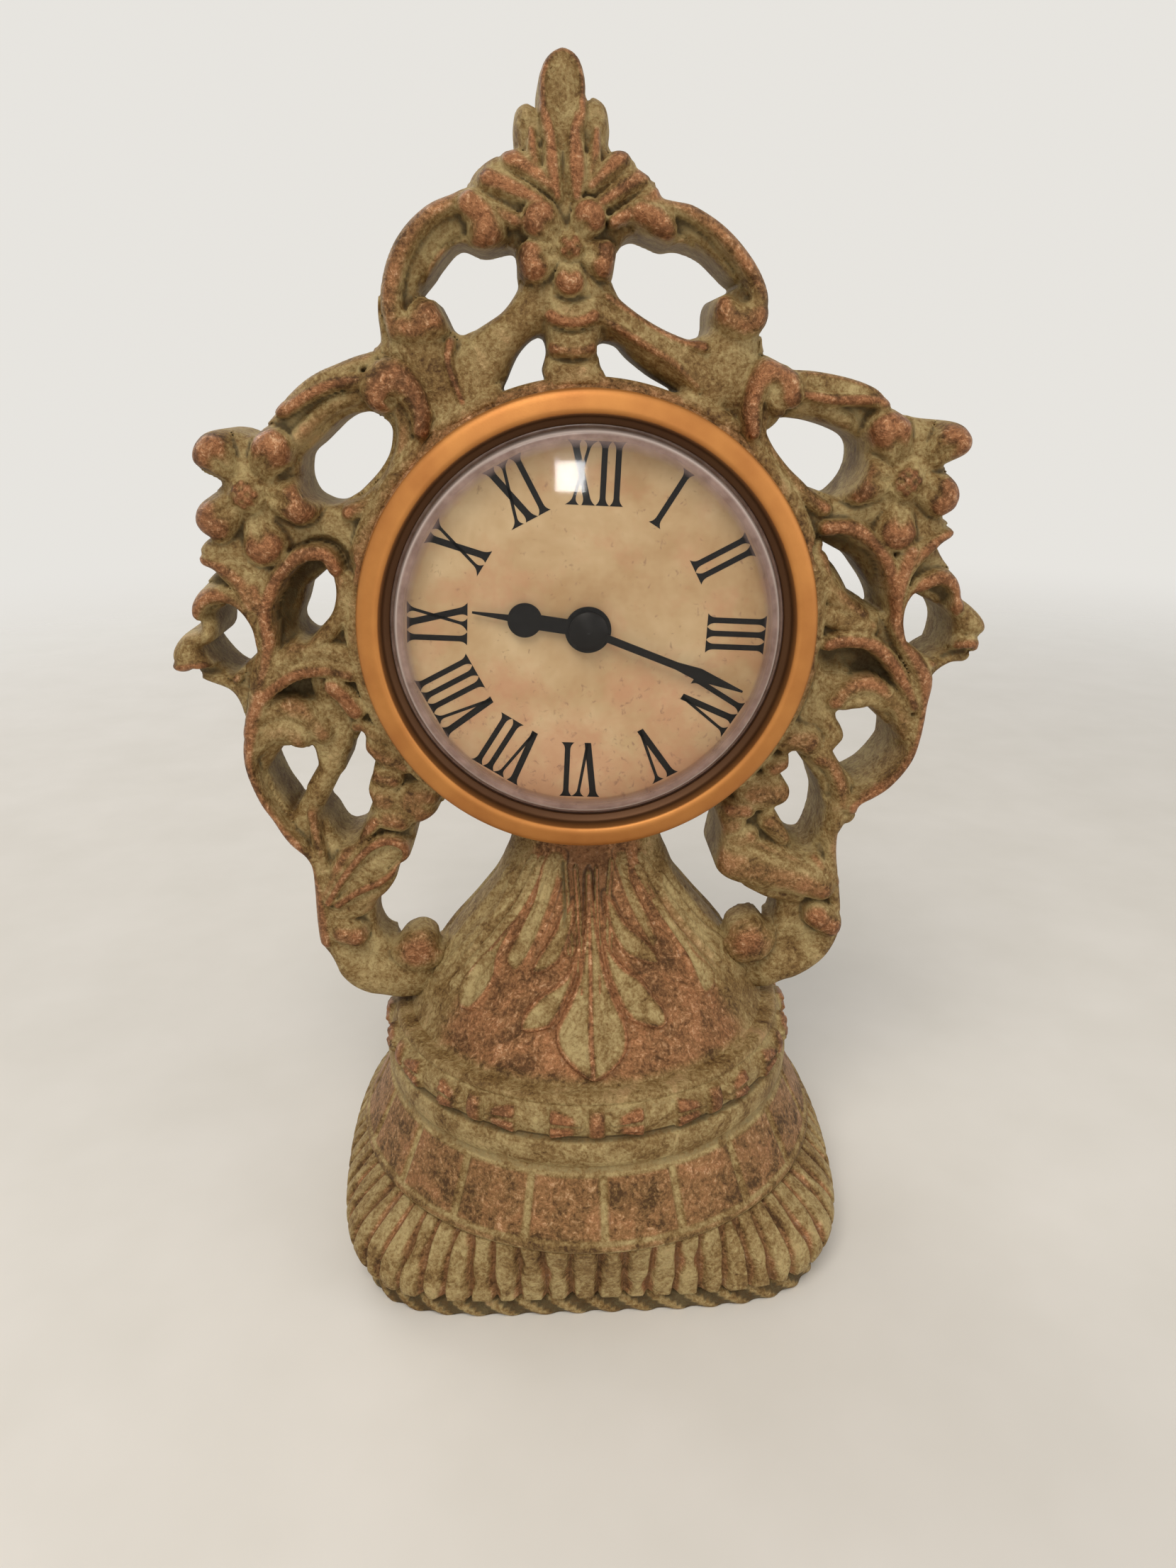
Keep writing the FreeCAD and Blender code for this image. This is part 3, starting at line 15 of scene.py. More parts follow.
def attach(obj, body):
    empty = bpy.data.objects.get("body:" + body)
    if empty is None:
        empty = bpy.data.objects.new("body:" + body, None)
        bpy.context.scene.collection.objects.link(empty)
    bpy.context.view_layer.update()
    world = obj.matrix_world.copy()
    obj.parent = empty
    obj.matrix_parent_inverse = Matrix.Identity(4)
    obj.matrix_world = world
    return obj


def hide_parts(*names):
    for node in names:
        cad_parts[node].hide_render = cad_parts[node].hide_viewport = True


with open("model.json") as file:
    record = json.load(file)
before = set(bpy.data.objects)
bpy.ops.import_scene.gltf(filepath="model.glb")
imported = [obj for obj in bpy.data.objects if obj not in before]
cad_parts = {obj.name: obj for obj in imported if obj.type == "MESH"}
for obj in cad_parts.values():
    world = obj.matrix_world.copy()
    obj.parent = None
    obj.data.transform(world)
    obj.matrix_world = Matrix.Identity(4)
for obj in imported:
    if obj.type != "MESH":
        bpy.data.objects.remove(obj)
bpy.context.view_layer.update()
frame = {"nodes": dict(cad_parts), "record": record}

Points = Sequence[tuple[float, float]]
Spread = float | Sequence[float]

# Lengths are in mm. The openwork counts its heights from the dial's centre.
MM = 0.001
DIAL_HEIGHT = 139.5
DIAL_TURN = math.radians(3.0)
BACK = 11.0
FAR = 1.0e3
# Where the photograph's eye stands before the frame, across and up
EYE = np.array([-9.8, 45.4])

log = logging.getLogger("table_clock")


# Numbers on grids


def smooth_step(value: np.ndarray, low: float, high: float) -> np.ndarray:
    """Rises from 0 at low to 1 at high along 3t^2 - 2t^3."""
    t = np.clip((value - low) / (high - low), 0.0, 1.0)
    return t * t * (3.0 - 2.0 * t)


def smooth_max(a: np.ndarray, b: np.ndarray, reach: float) -> np.ndarray:
    """The larger value, with a quadratic fillet where the two are within reach of each other."""
    return np.maximum(a, b) + np.maximum(reach - np.abs(a - b), 0.0) ** 2 / (4.0 * reach)


def smooth_min(a: np.ndarray, b: np.ndarray, reach: float) -> np.ndarray:
    """The smaller value, with a quadratic fillet where the two are within reach of each other."""
    return -smooth_max(-a, -b, reach)


def between(value: np.ndarray, rise: tuple[float, float], fall: tuple[float, float]) -> np.ndarray:
    """1 between two soft edges: it rises over the first pair and falls over the second."""
    return smooth_step(value, *rise) * (1 - smooth_step(value, *fall))


def line_at(value: np.ndarray, middle: float, width: float) -> np.ndarray:
    """1 on a line and 0 away from it: exp(-((v - middle) / width)^2)."""
    return np.exp(-((value - middle) / width) ** 2)


def dome(u: np.ndarray) -> np.ndarray:
    """A round's height at u radii from its middle: (1 - u^2)^0.5, and 0 outside it."""
    return np.sqrt(np.clip(1 - u ** 2, 0, 1))


def smooth_path(points: np.ndarray, step: float, closed: bool = False) -> np.ndarray:
    """A Catmull-Rom curve: each span is the cubic whose end slopes are half the chord of its neighbours.

    Args:
        points: One row for each control point, with the place in the first two columns.
        step: The largest distance between two samples, in mm.
        closed: Whether the last point joins the first.

    Returns:
        The sampled rows.
    """
    if closed:
        ring = np.vstack([points[-1:], points, points[:2]])
    else:
        ring = np.vstack([2 * points[0] - points[1], points, 2 * points[-1] - points[-2]])
    rows = []
    for before, start, end, after in zip(ring[:-3], ring[1:-2], ring[2:-1], ring[3:]):
        count = max(1, math.ceil(float(np.hypot(*(end - start)[:2])) / step))
        t = (np.arange(count) / count)[:, None]
        rows.append(0.5 * (2 * start + (end - before) * t
                           + (2 * before - 5 * start + 4 * end - after) * t ** 2
                           + (3 * start - before - 3 * end + after) * t ** 3))
    if not closed:
        rows.append(points[-1:])
    return np.vstack(rows)


def along_piece(across: np.ndarray, along: np.ndarray, start: np.ndarray, step: np.ndarray) -> np.ndarray:
    """The share of a straight piece at which it comes nearest to each place."""
    dot = (across - start[0]) * step[0] + (along - start[1]) * step[1]
    return np.clip(dot / max(step[0] ** 2 + step[1] ** 2, 1e-9), 0, 1)


def outline_distance(across: np.ndarray, along: np.ndarray, outline: np.ndarray) -> np.ndarray:
    """Signed distance to a closed outline: negative inside by the even-odd rule, exact to each side.

    Args:
        across: First coordinate of every place, in mm.
        along: Second coordinate of every place, in mm.
        outline: The corners of the outline, one row each.

    Returns:
        The distance, in the shape of across.
    """
    nearest = np.full(across.shape, FAR)
    inside = np.zeros(across.shape, bool)
    for (x0, z0), (x1, z1) in zip(outline, np.roll(outline, -1, axis=0)):
        dx, dz = x1 - x0, z1 - z0
        t = along_piece(across, along, (x0, z0), (dx, dz))
        nearest = np.minimum(nearest, (across - x0 - t * dx) ** 2 + (along - z0 - t * dz) ** 2)
        if z0 != z1:
            inside ^= ((z0 > along) != (z1 > along)) & (across < x0 + (along - z0) * dx / dz)
    return np.where(inside, -1.0, 1.0) * np.sqrt(nearest)


def blurred(values: np.ndarray, cells: float) -> np.ndarray:
    """Gaussian blur: the grid's spectrum times exp(-2 (pi f cells)^2), with its edges repeated."""
    pad = int(4 * cells) + 1
    wide = np.pad(values, pad, mode="edge")
    rows = np.fft.fftfreq(wide.shape[0])[:, None]
    columns = np.fft.rfftfreq(wide.shape[1])[None, :]
    damped = np.fft.rfft2(wide) * np.exp(-2 * (math.pi * cells) ** 2 * (rows ** 2 + columns ** 2))
    return np.fft.irfft2(damped, s=wide.shape)[pad:-pad, pad:-pad]


def sampled(values: np.ndarray, rows: np.ndarray, columns: np.ndarray) -> np.ndarray:
    """Values between grid points, weighted by nearness in both directions."""
    i = np.clip(rows.astype(int), 0, values.shape[0] - 2)
    j = np.clip(columns.astype(int), 0, values.shape[1] - 2)
    u, v = rows - i, columns - j
    return ((1 - u) * ((1 - v) * values[i, j] + v * values[i, j + 1])
            + u * ((1 - v) * values[i + 1, j] + v * values[i + 1, j + 1]))


# Meshes


@dataclass
class Shell:
    """Points in mm and the faces between them, with what the finish reads at each point."""

    points: np.ndarray
    faces: list[np.ndarray]
    marks: dict[str, np.ndarray] = field(default_factory=dict)

    def trimmed(self) -> "Shell":
        """The shell without the points that no face uses."""
        used = np.unique(np.concatenate([faces.ravel() for faces in self.faces]))
        number = np.zeros(len(self.points), int)
        number[used] = np.arange(len(used))
        return Shell(self.points[used], [number[faces] for faces in self.faces],
                     {key: values[used] for key, values in self.marks.items()})

    def outward(self) -> "Shell":
        """The shell with its faces outwards: they are turned over if the volume they hold is negative."""
        volume = 0.0
        for faces in self.faces:
            for i in range(1, faces.shape[1] - 1):
                first, second, third = (self.points[faces[:, j]] for j in (0, i, i + 1))
                volume += float(np.einsum("ij,ij->", first, np.cross(second, third))) / 6
        faces = self.faces if volume > 0 else [faces[:, ::-1] for faces in self.faces]
        return Shell(self.points, faces, self.marks)

    def mesh(self, name: str, smooth: bool = True) -> bpy.types.Mesh:
        """Writes the points in metres and the faces into a new mesh.

        Args:
            name: The mesh's name.
            smooth: Whether its faces are shaded as one curved surface.

        Returns:
            The mesh.
        """
        made = bpy.data.meshes.new(name)
        sizes = np.concatenate([np.full(len(faces), faces.shape[1]) for faces in self.faces])
        corners = np.concatenate([faces.ravel() for faces in self.faces])
        made.vertices.add(len(self.points))
        made.vertices.foreach_set("co", (self.points * MM).astype(np.float32).ravel())
        made.loops.add(len(corners))
        made.loops.foreach_set("vertex_index", corners.astype(np.int32))
        made.polygons.add(len(sizes))
        made.polygons.foreach_set("loop_start", (np.cumsum(sizes) - sizes).astype(np.int32))
        for key, values in self.marks.items():
            layer = made.attributes.new(key, "FLOAT", "POINT")
            layer.data.foreach_set("value", values.astype(np.float32))
        made.update(calc_edges=True)
        made.polygons.foreach_set("use_smooth", np.full(len(sizes), smooth))
        made.validate()
        return made


def grid_faces(rows: int, columns: int) -> np.ndarray:
    """Four-sided faces between neighbours on rows of points that each close round.

    Args:
        rows: How many rows of points there are.
        columns: How many points a row has.

    Returns:
        One row of four point numbers for each face.
    """
    row = np.arange(rows - 1)[:, None] * columns
    column = np.arange(columns)[None, :]
    after = (column + 1) % columns
    return np.stack([row + column, row + after, row + columns + after, row + columns + column],
                    -1).reshape(-1, 4)


def stacked(radius: np.ndarray, level: np.ndarray, angle: np.ndarray, **marks: np.ndarray) -> Shell:
    """Rows of points round the upright axis, with a fan over the first row and the last.

    Args:
        radius: How far each point is from the axis, with one row for each turn, in mm.
        level: How high each point is.
        angle: The direction of each column of points, from +X.
        marks: What the finish reads at each point.

    Returns:
        The closed shell.
    """
    rows, columns = radius.shape
    grid = np.stack([radius * np.cos(angle), radius * np.sin(angle), level], -1)
    column = np.arange(columns)
    after, base = (column + 1) % columns, (rows - 1) * columns
    low = np.stack([after, column, np.full(columns, rows * columns)], -1)
    high = np.stack([base + column, base + after, np.full(columns, rows * columns + 1)], -1)
    spread = {key: np.append(v, [v[0, 0], v[-1, -1]]) for key, v in marks.items()}
    return Shell(np.vstack([grid.reshape(-1, 3), grid[0].mean(0), grid[-1].mean(0)]),
                 [grid_faces(rows, columns), low, high], spread)


def turned(section: np.ndarray, count: int, **marks: np.ndarray) -> Shell:
    """A section carried round the dial's axis: (r, y) becomes r cos a beside it and r sin a above it.

    Args:
        section: The radius and the place along y of each point, in mm. Where its end meets its start
            the shell closes, and points on the axis become one point.
        count: How many steps make the turn.
        marks: What the finish reads at each point of the section.

    Returns:
        The closed shell.
    """
    rows = len(section)
    if np.allclose(section[0], section[-1]):
        section = section[:-1]
    angle = 2 * math.pi * np.arange(count) / count
    beside, above = (section[:, :1] * wave(angle) for wave in (np.cos, np.sin))
    along = np.broadcast_to(section[:, 1:], beside.shape)
    points = np.stack([beside, along, above + DIAL_HEIGHT], -1).reshape(-1, 3)
    home = np.arange(len(points)).reshape(len(section), count)
    home[section[:, 0] == 0] = home[section[:, 0] == 0][:, :1]
    faces = home.ravel()[grid_faces(rows, count) % len(points)]
    low, high = faces[:, 0] == faces[:, 1], faces[:, 2] == faces[:, 3]
    parts = [faces[~low & ~high], faces[low & ~high][:, 1:], faces[high & ~low][:, :3]]
    spread = {key: np.repeat(value[:len(section)], count) for key, value in marks.items()}
    return Shell(points, [part for part in parts if len(part)], spread).trimmed()


def rounded_profile(corners: Sequence[tuple[float, float, float]], steps: int = 4) -> np.ndarray:
    """A profile whose corners are rounded: each corner becomes a quadratic arc between its two cuts.

    Args:
        corners: Radius, place and rounding of each corner, in mm. A rounding of 0 keeps it sharp.
        steps: How many pieces an arc has.

    Returns:
        The radius and the place of each point.
    """
    spots = np.array([corner[:2] for corner in corners], float)
    rows = []
    for i, (spot, (_, _, rounding)) in enumerate(zip(spots, corners)):
        if rounding == 0 or i in (0, len(spots) - 1):
            rows.append(spot[None])
            continue
        back, on = spots[i - 1] - spot, spots[i + 1] - spot
        start = spot + back * min(rounding / np.hypot(*back), 0.48)
        end = spot + on * min(rounding / np.hypot(*on), 0.48)
        t = np.linspace(0, 1, steps + 1)[:, None]
        rows.append((1 - t) ** 2 * start + 2 * t * (1 - t) * spot + t ** 2 * end)
    return np.vstack(rows)


def surface_net(values: np.ndarray, origin: np.ndarray, pitch: np.ndarray) -> Shell:
    """The zero surface of a field on a box grid, by surface nets.

    Each grid edge whose ends differ in sign is cut at t = a / (a - b). Each cell's point is the
    mean of the cuts on its edges, and each cut edge carries a face between its four cells.

    Args:
        values: The field at each grid point, negative inside the body.
        origin: The place of the first grid point, in mm.
        pitch: The grid's steps, in mm.

    Returns:
        A closed shell whose faces point outwards.
    """
    shape = values.shape
    total = int(np.prod(shape))
    sums = np.zeros((3, total))
    hits = np.zeros(total)
    quads = []
    strides = np.array([shape[1] * shape[2], shape[2], 1])
    for axis in range(3):
        low = np.moveaxis(values, axis, 0)[:-1]
        high = np.moveaxis(values, axis, 0)[1:]
        found = np.nonzero((low < 0) != (high < 0))
        a, b = low[found], high[found]
        others = [i for i in range(3) if i != axis]
        index = np.zeros((3, len(a)), int)
        index[axis] = found[0]
        index[others[0]], index[others[1]] = found[1], found[2]
        place = index.astype(float)
        place[axis] += a / (a - b)
        u, v = strides[(axis + 1) % 3], strides[(axis + 2) % 3]
        home = strides @ index
        cells = np.stack([home, home - u, home - u - v, home - v], 1)
        for corner in cells.T:
            hits += np.bincount(corner, minlength=total)
            for i in range(3):
                sums[i] += np.bincount(corner, weights=place[i], minlength=total)
        quads.append(np.where((a < 0)[:, None], cells, cells[:, ::-1]))
    used = np.nonzero(hits)[0]
    number = np.zeros(total, int)
    number[used] = np.arange(len(used))
    points = origin + pitch * (sums[:, used] / hits[used]).T
    return Shell(points, [number[np.vstack(quads)]])


# Shader sums


class Term:
    """A socket in a shader sum: each operator adds its Math node."""

    def __init__(self, graph: "Graph", socket: bpy.types.NodeSocket) -> None:
        """Keeps the graph and the socket."""
        self.graph = graph
        self.socket = socket

    def _math(self, kind: str, left: Any, right: Any) -> "Term":
        """One Math node on two values or terms."""
        return self.graph.node("ShaderNodeMath", {"operation": kind}, {0: left, 1: right})

    def __add__(self, other: "Term | float") -> "Term":
        """Sum."""
        return self._math("ADD", self, other)

    def __sub__(self, other: "Term | float") -> "Term":
        """Difference."""
        return self._math("SUBTRACT", self, other)

    def __rsub__(self, other: float) -> "Term":
        """Difference from a number."""
        return self._math("SUBTRACT", other, self)

    def __mul__(self, other: "Term | float") -> "Term":
        """Product."""
        return self._math("MULTIPLY", self, other)

    def __truediv__(self, other: "Term | float") -> "Term":
        """Quotient."""
        return self._math("DIVIDE", self, other)

    def __pow__(self, other: float) -> "Term":
        """Power."""
        return self._math("POWER", self, other)

    __radd__ = __add__
    __rmul__ = __mul__

    def or_more(self, other: "Term") -> "Term":
        """The larger of the two."""
        return self._math("MAXIMUM", self, other)

    def clipped(self) -> "Term":
        """The value held between 0 and 1."""
        return self.graph.node("ShaderNodeClamp", {}, {"Value": self})


class Graph:
    """The nodes of one material, or of the world."""

    def __init__(self, name: str, world: bool = False) -> None:
        """Starts a material, or a world, without nodes.

        Args:
            name: Its name.
            world: Whether it is a world.
        """
        self.owner = (bpy.data.worlds if world else bpy.data.materials).new(name)
        self.owner.use_nodes = True
        self.tree = self.owner.node_tree
        self.tree.nodes.clear()

    def node(self, kind: str, settings: dict[str, Any], inputs: dict[Any, Any], out: Any = 0) -> Term:
        """Adds a node: its settings first, then the value or link of each socket.

        Args:
            kind: The node's type.
            settings: Its properties. "stops" sets a ramp's places and colours.
            inputs: Values or terms by socket number, name or identifier.
            out: Which output comes back, by number, name or identifier.

        Returns:
            The chosen output.
        """
        made = self.tree.nodes.new(kind)
        for key, value in settings.items():
            if key == "stops":
                self._stops(made.color_ramp, value)
            else:
                setattr(made, key, value)
        for key, value in inputs.items():
            socket = self._socket(made.inputs, key)
            if isinstance(value, Term):
                self.tree.links.new(value.socket, socket)
            else:
                socket.default_value = value
        return Term(self, self._socket(made.outputs, out))

    @staticmethod
    def _socket(sockets: Any, key: Any) -> bpy.types.NodeSocket:
        """The socket with that number, identifier or name."""
        if isinstance(key, int):
            return sockets[key]
        return next(s for s in sockets if key in (s.identifier, s.name))

    @staticmethod
    def _stops(ramp: bpy.types.ColorRamp, stops: Sequence[tuple[float, Sequence[float]]]) -> None:
        """Gives a ramp its places and colours."""
        while len(ramp.elements) < len(stops):
            ramp.elements.new(1.0)
        for element, (place, colour) in zip(ramp.elements, stops):
            element.position = place
            element.color = colour

    def noise(self, size: float, detail: float = 3.0, rough: float = 0.55, twist: float = 0.0) -> Term:
        """Noise on object coordinates.

        Args:
            size: About how large its blotches are, in mm.
            detail: How many finer layers it has.
            rough: How strong the finer layers are.
            twist: How far its blotches are dragged into streaks.

        Returns:
            The noise, from 0 to 1 about a mean of a half.
        """
        place = self.node("ShaderNodeTexCoord", {}, {}, "Object")
        return self.node("ShaderNodeTexNoise", {}, {
            "Vector": place, "Scale": 1000.0 / size, "Detail": detail, "Roughness": rough,
            "Distortion": twist}, "Fac")

    def mark(self, name: str) -> Term:
        """The value that each point of the mesh carries under that name."""
        return self.node("ShaderNodeAttribute", {"attribute_name": name}, {}, "Fac")

    def ramp(self, value: Term, *stops: tuple[float, Sequence[float]]) -> Term:
        """A colour for each value."""
        return self.node("ShaderNodeValToRGB", {"stops": stops}, {"Fac": value}, "Color")

    def mix(self, share: Term | float, first: Any, second: Any) -> Term:
        """Two colours mixed, with the share of the second."""
        return self.node("ShaderNodeMix", {"data_type": "RGBA"}, {
            "Factor_Float": share, "A_Color": first, "B_Color": second}, "Result_Color")

    def bump(self, height: Term, depth: float, strength: float = 1.0) -> Term:
        """A normal from a height of 0 to 1 that stands for a depth in mm."""
        return self.node("ShaderNodeBump", {}, {
            "Strength": strength, "Distance": depth * MM, "Height": height}, "Normal")

    def skin(self, **sockets: Any) -> Term:
        """A Principled shader: its sockets by name, with _ for a space."""
        return self.node("ShaderNodeBsdfPrincipled", {},
                         {key.replace("_", " "): value for key, value in sockets.items()}, "BSDF")

    def done(self, shader: Term, output: str = "ShaderNodeOutputMaterial") -> bpy.types.ID:
        """Links the shader to the output, and gives what it belongs to."""
        out = self.tree.nodes.new(output)
        self.tree.links.new(shader.socket, out.inputs["Surface"])
        return self.owner


def paint(red: int, green: int, blue: int) -> tuple[float, float, float, float]:
    """A colour as it looks on a screen, from 0 to 255, made linear for the shader."""
    levels = [v / 255 for v in (red, green, blue)]
    return (*(v / 12.92 if v <= 0.04045 else ((v + 0.055) / 1.055) ** 2.4 for v in levels), 1.0)


# Finishes


@dataclass(frozen=True)
class AntiquedCasting:
    """Olive paint over a dark ground, rubbed through to copper on the high places."""

    name: str = "antiqued_casting"
    pale: tuple = paint(184, 163, 114)
    deep: tuple = paint(132, 104, 62)
    umber: tuple = paint(78, 53, 28)
    copper: tuple = paint(108, 66, 40)
    worn: tuple = paint(166, 114, 78)
    # Pale flecks on the rubbed copper: painted glints.
    bright: tuple = paint(240, 200, 162)
    # The dark laid by the mark: grime in the hollows, painted shade on the foot's strip and under the disc's
    # edge.
    dark: tuple = paint(38, 26, 14)

    def build(self) -> bpy.types.Material:
        """The finish reads rub and dark (grime and painted shade) from the points and breaks them up with
        grain.
        """
        g = Graph(self.name)
        grain = g.noise(0.7, 4.0, 0.7, 0.3)
        speck = g.noise(2.8, 5.0, 0.7, 1.6)
        patch = g.noise(9.0, 4.0, 0.65, 1.0)
        bare = g.mark("rub")
        rub = bare + (speck - 0.5) * 0.9 + (patch - 0.5) * 1.8 + (grain - 0.5) * 0.5
        worn = ((rub - 0.38) * 1.6).clipped()
        # Darkening: real grime in the hollows, and painted shade where the foot and the disc's edge are
        # darkened.
        soil_and_shade = g.mark("grime") + (speck - 0.5) * 0.9 + (patch - 0.5) * 0.5 + (grain - 0.5) * 0.5
        soiled_and_shaded = ((soil_and_shade - 0.4) * 2.0).clipped()
        tone = (patch - 0.5) * 1.6 + (speck - 0.5) * 1.3 + (grain - 0.5) * 1.4 + 0.7 - bare * 0.5
        olive = g.ramp(tone.clipped(), (0.05, self.umber), (0.45, self.deep), (1.0, self.pale))
        # The top stop lays pale flecks over the copper as painted glints.
        metal = g.ramp(grain * 0.55 + speck * 0.45,
                       (0.34, self.copper), (0.54, self.worn), (0.73, self.bright))
        colour = g.mix(soiled_and_shaded * 0.75, g.mix(worn * 0.85, olive, metal), self.dark)
        return g.done(g.skin(
            Base_Color=colour,
            Metallic=worn * 0.55 * (1 - soiled_and_shaded * 0.8),
            Roughness=0.56 - worn * 0.2 + (grain - 0.5) * 0.4,
            Specular_IOR_Level=0.18,
            Normal=g.bump(grain * 0.5 + speck * 0.9, 0.6, 0.9),
        ))


@dataclass(frozen=True)
class SatinMetal:
    """Turned metal under clear lacquer, with a fine grain and faint cloudiness."""

    name: str
    colour: tuple
    dull: tuple
    rough: float = 0.3
    metallic: float = 1.0
    # Whether its colour takes painted shade from the points' dark mark.
    shaded: bool = False

    def build(self) -> bpy.types.Material:
        """Its colour follows a slow cloud and takes painted shade if shaded; its roughness a fine grain."""
        g = Graph(self.name)
        cloud = g.noise(9.0, 3.0)
        grain = g.noise(0.35, 3.0)
        colour = g.ramp(cloud, (0.3, self.dull), (0.7, self.colour))
        # Painted shade: the mark darkens the colour towards deep brown.
        if self.shaded:
            colour = g.mix(g.mark("grime"), colour, paint(52, 30, 14))
        return g.done(g.skin(
            Base_Color=colour, Metallic=self.metallic,
            Roughness=(grain - 0.5) * 0.16 + (cloud - 0.5) * 0.1 + self.rough,
            Normal=g.bump(grain, 0.03, 0.5)))


@dataclass(frozen=True)
class Moulded:
    """Moulded plastic, rubber, felt or lacquer: one colour with a fine texture."""

    name: str
    colour: tuple
    light: tuple
    rough: float = 0.5
    size: float = 0.5
    depth: float = 0.05

    def build(self) -> bpy.types.Material:
        """Its colour, roughness and bump follow the same fine texture."""
        g = Graph(self.name)
        grain = g.noise(self.size, 4.0, 0.6)
        cloud = g.noise(self.size * 14, 2.0)
        colour = g.ramp(grain * 0.6 + cloud * 0.4, (0.3, self.colour), (0.75, self.light))
        return g.done(g.skin(
            Base_Color=colour, Roughness=(cloud - 0.5) * 0.2 + self.rough, Specular_IOR_Level=0.16,
            Normal=g.bump(grain, self.depth, 0.6)))


@dataclass(frozen=True)
class AgedPaper:
    """Printed paper toned like old parchment, mottled with foxing."""

    name: str = "dial_paper"
    reach: float = 0.034

    def build(self) -> bpy.types.Material:
        """Two clouds tone the tan, and foxed specks lie over it, more of both towards the foot."""
        g = Graph(self.name)
        place = g.node("ShaderNodeTexCoord", {}, {}, "Object")
        height = g.node("ShaderNodeSeparateXYZ", {}, {0: place}, "Z")
        low = ((DIAL_HEIGHT * MM - height) / self.reach).clipped()
        cloud = g.noise(17.0, 4.0, 0.6, 0.2)
        blush = g.noise(11.0, 4.0, 0.65, 0.2)
        speck = g.noise(1.5, 4.0, 0.65, 0.6)
        colour = g.ramp(cloud, (0.32, paint(186, 152, 108)), (0.68, paint(220, 196, 154)))
        colour = g.mix(((blush - 0.5) * 4.0 + low * 0.9).clipped() * 0.55, colour, paint(200, 140, 106))
        colour = g.mix(((speck - 0.63 + low * 0.06) * 9.0).clipped() * 0.6, colour, paint(132, 92, 74))
        return g.done(g.skin(Base_Color=colour, Roughness=0.62 + (speck - 0.5) * 0.2,
                             Normal=g.bump(g.noise(0.3, 3.0), 0.02, 0.4)))


@dataclass(frozen=True)
class ClearWindow:
    """Clear moulded window: it lets the dial through and shines at a slant."""

    name: str = "clear_window"

    def build(self) -> bpy.types.Material:
        """Gloss by the slant over a see-through shader; milky on the rim, a painted highlight on the line."""
        g = Graph(self.name)
        clear = g.node("ShaderNodeBsdfTransparent", {}, {"Color": (0.98, 0.97, 0.96, 1)}, "BSDF")
        gloss = g.node("ShaderNodeBsdfGlossy", {}, {"Color": (1, 1, 1, 1), "Roughness": 0.05}, "BSDF")
        slant = g.node("ShaderNodeLayerWeight", {}, {"Blend": 0.5}, "Facing")
        behind = g.node("ShaderNodeNewGeometry", {}, {}, "Backfacing")
        share = ((slant ** 4.0) * 0.6 + 0.016) * (1 - behind)
        glassy = g.node("ShaderNodeMixShader", {}, {0: share.clipped(), 1: clear, 2: gloss}, 0)
        cloud = g.ramp(g.noise(3.0), (0.3, paint(126, 100, 94)), (0.7, paint(166, 140, 132)))
        # The pale colour on the line is a painted highlight on the window's step.
        milk_and_highlight = g.skin(Base_Color=g.mix(g.mark("line"), cloud, paint(236, 222, 214)),
                      Roughness=0.25 + (g.noise(0.6) - 0.5) * 0.1)
        milk_and_highlight_share = (g.mark("rim") * 0.72 + g.mark("line") * 0.28).clipped()
        return g.done(g.node("ShaderNodeMixShader", {}, {0: milk_and_highlight_share, 1: glassy, 2: milk_and_highlight}, 0))


class Finish(Enum):
    """The finishes of the clock by the record's slots."""

    antiqued_casting = AntiquedCasting()
    gold_metal = SatinMetal("gold_metal", paint(192, 130, 66), paint(174, 112, 54), 0.48, 0.62, True)
    clear_window = ClearWindow()
    dial_paper = AgedPaper()
    black_metal = Moulded("black_metal", paint(8, 7, 7), paint(18, 15, 13), 0.4, 0.6, 0.02)
    felt = Moulded("felt", paint(34, 52, 38), paint(54, 76, 56), 0.95, 0.4, 0.3)
    plate_metal = SatinMetal("plate_metal", paint(190, 190, 188), paint(166, 167, 168), 0.34)
    black_plastic = Moulded("black_plastic", paint(24, 24, 25), paint(38, 38, 38), 0.5, 0.35, 0.04)
    rubber = Moulded("rubber", paint(28, 27, 27), paint(44, 42, 41), 0.8, 0.5, 0.06)
    brass = SatinMetal("brass", paint(214, 180, 104), paint(190, 152, 80), 0.28)
    wheel_plastic = Moulded("wheel_plastic", paint(212, 208, 196), paint(232, 229, 220), 0.4, 0.5, 0.02)
    magnet = SatinMetal("magnet", paint(92, 92, 95), paint(70, 70, 73), 0.5)
    movement_plastic = Moulded("movement_plastic", paint(26, 26, 28), paint(42, 42, 44), 0.46, 0.4, 0.05)
    copper_wire = SatinMetal("copper_wire", paint(196, 112, 62), paint(160, 84, 44), 0.3)
    board = Moulded("board", paint(30, 86, 50), paint(46, 112, 66), 0.4, 0.8, 0.03)
    battery_jacket = Moulded("battery_jacket", paint(38, 39, 44), paint(58, 60, 66), 0.3, 0.7, 0.01)


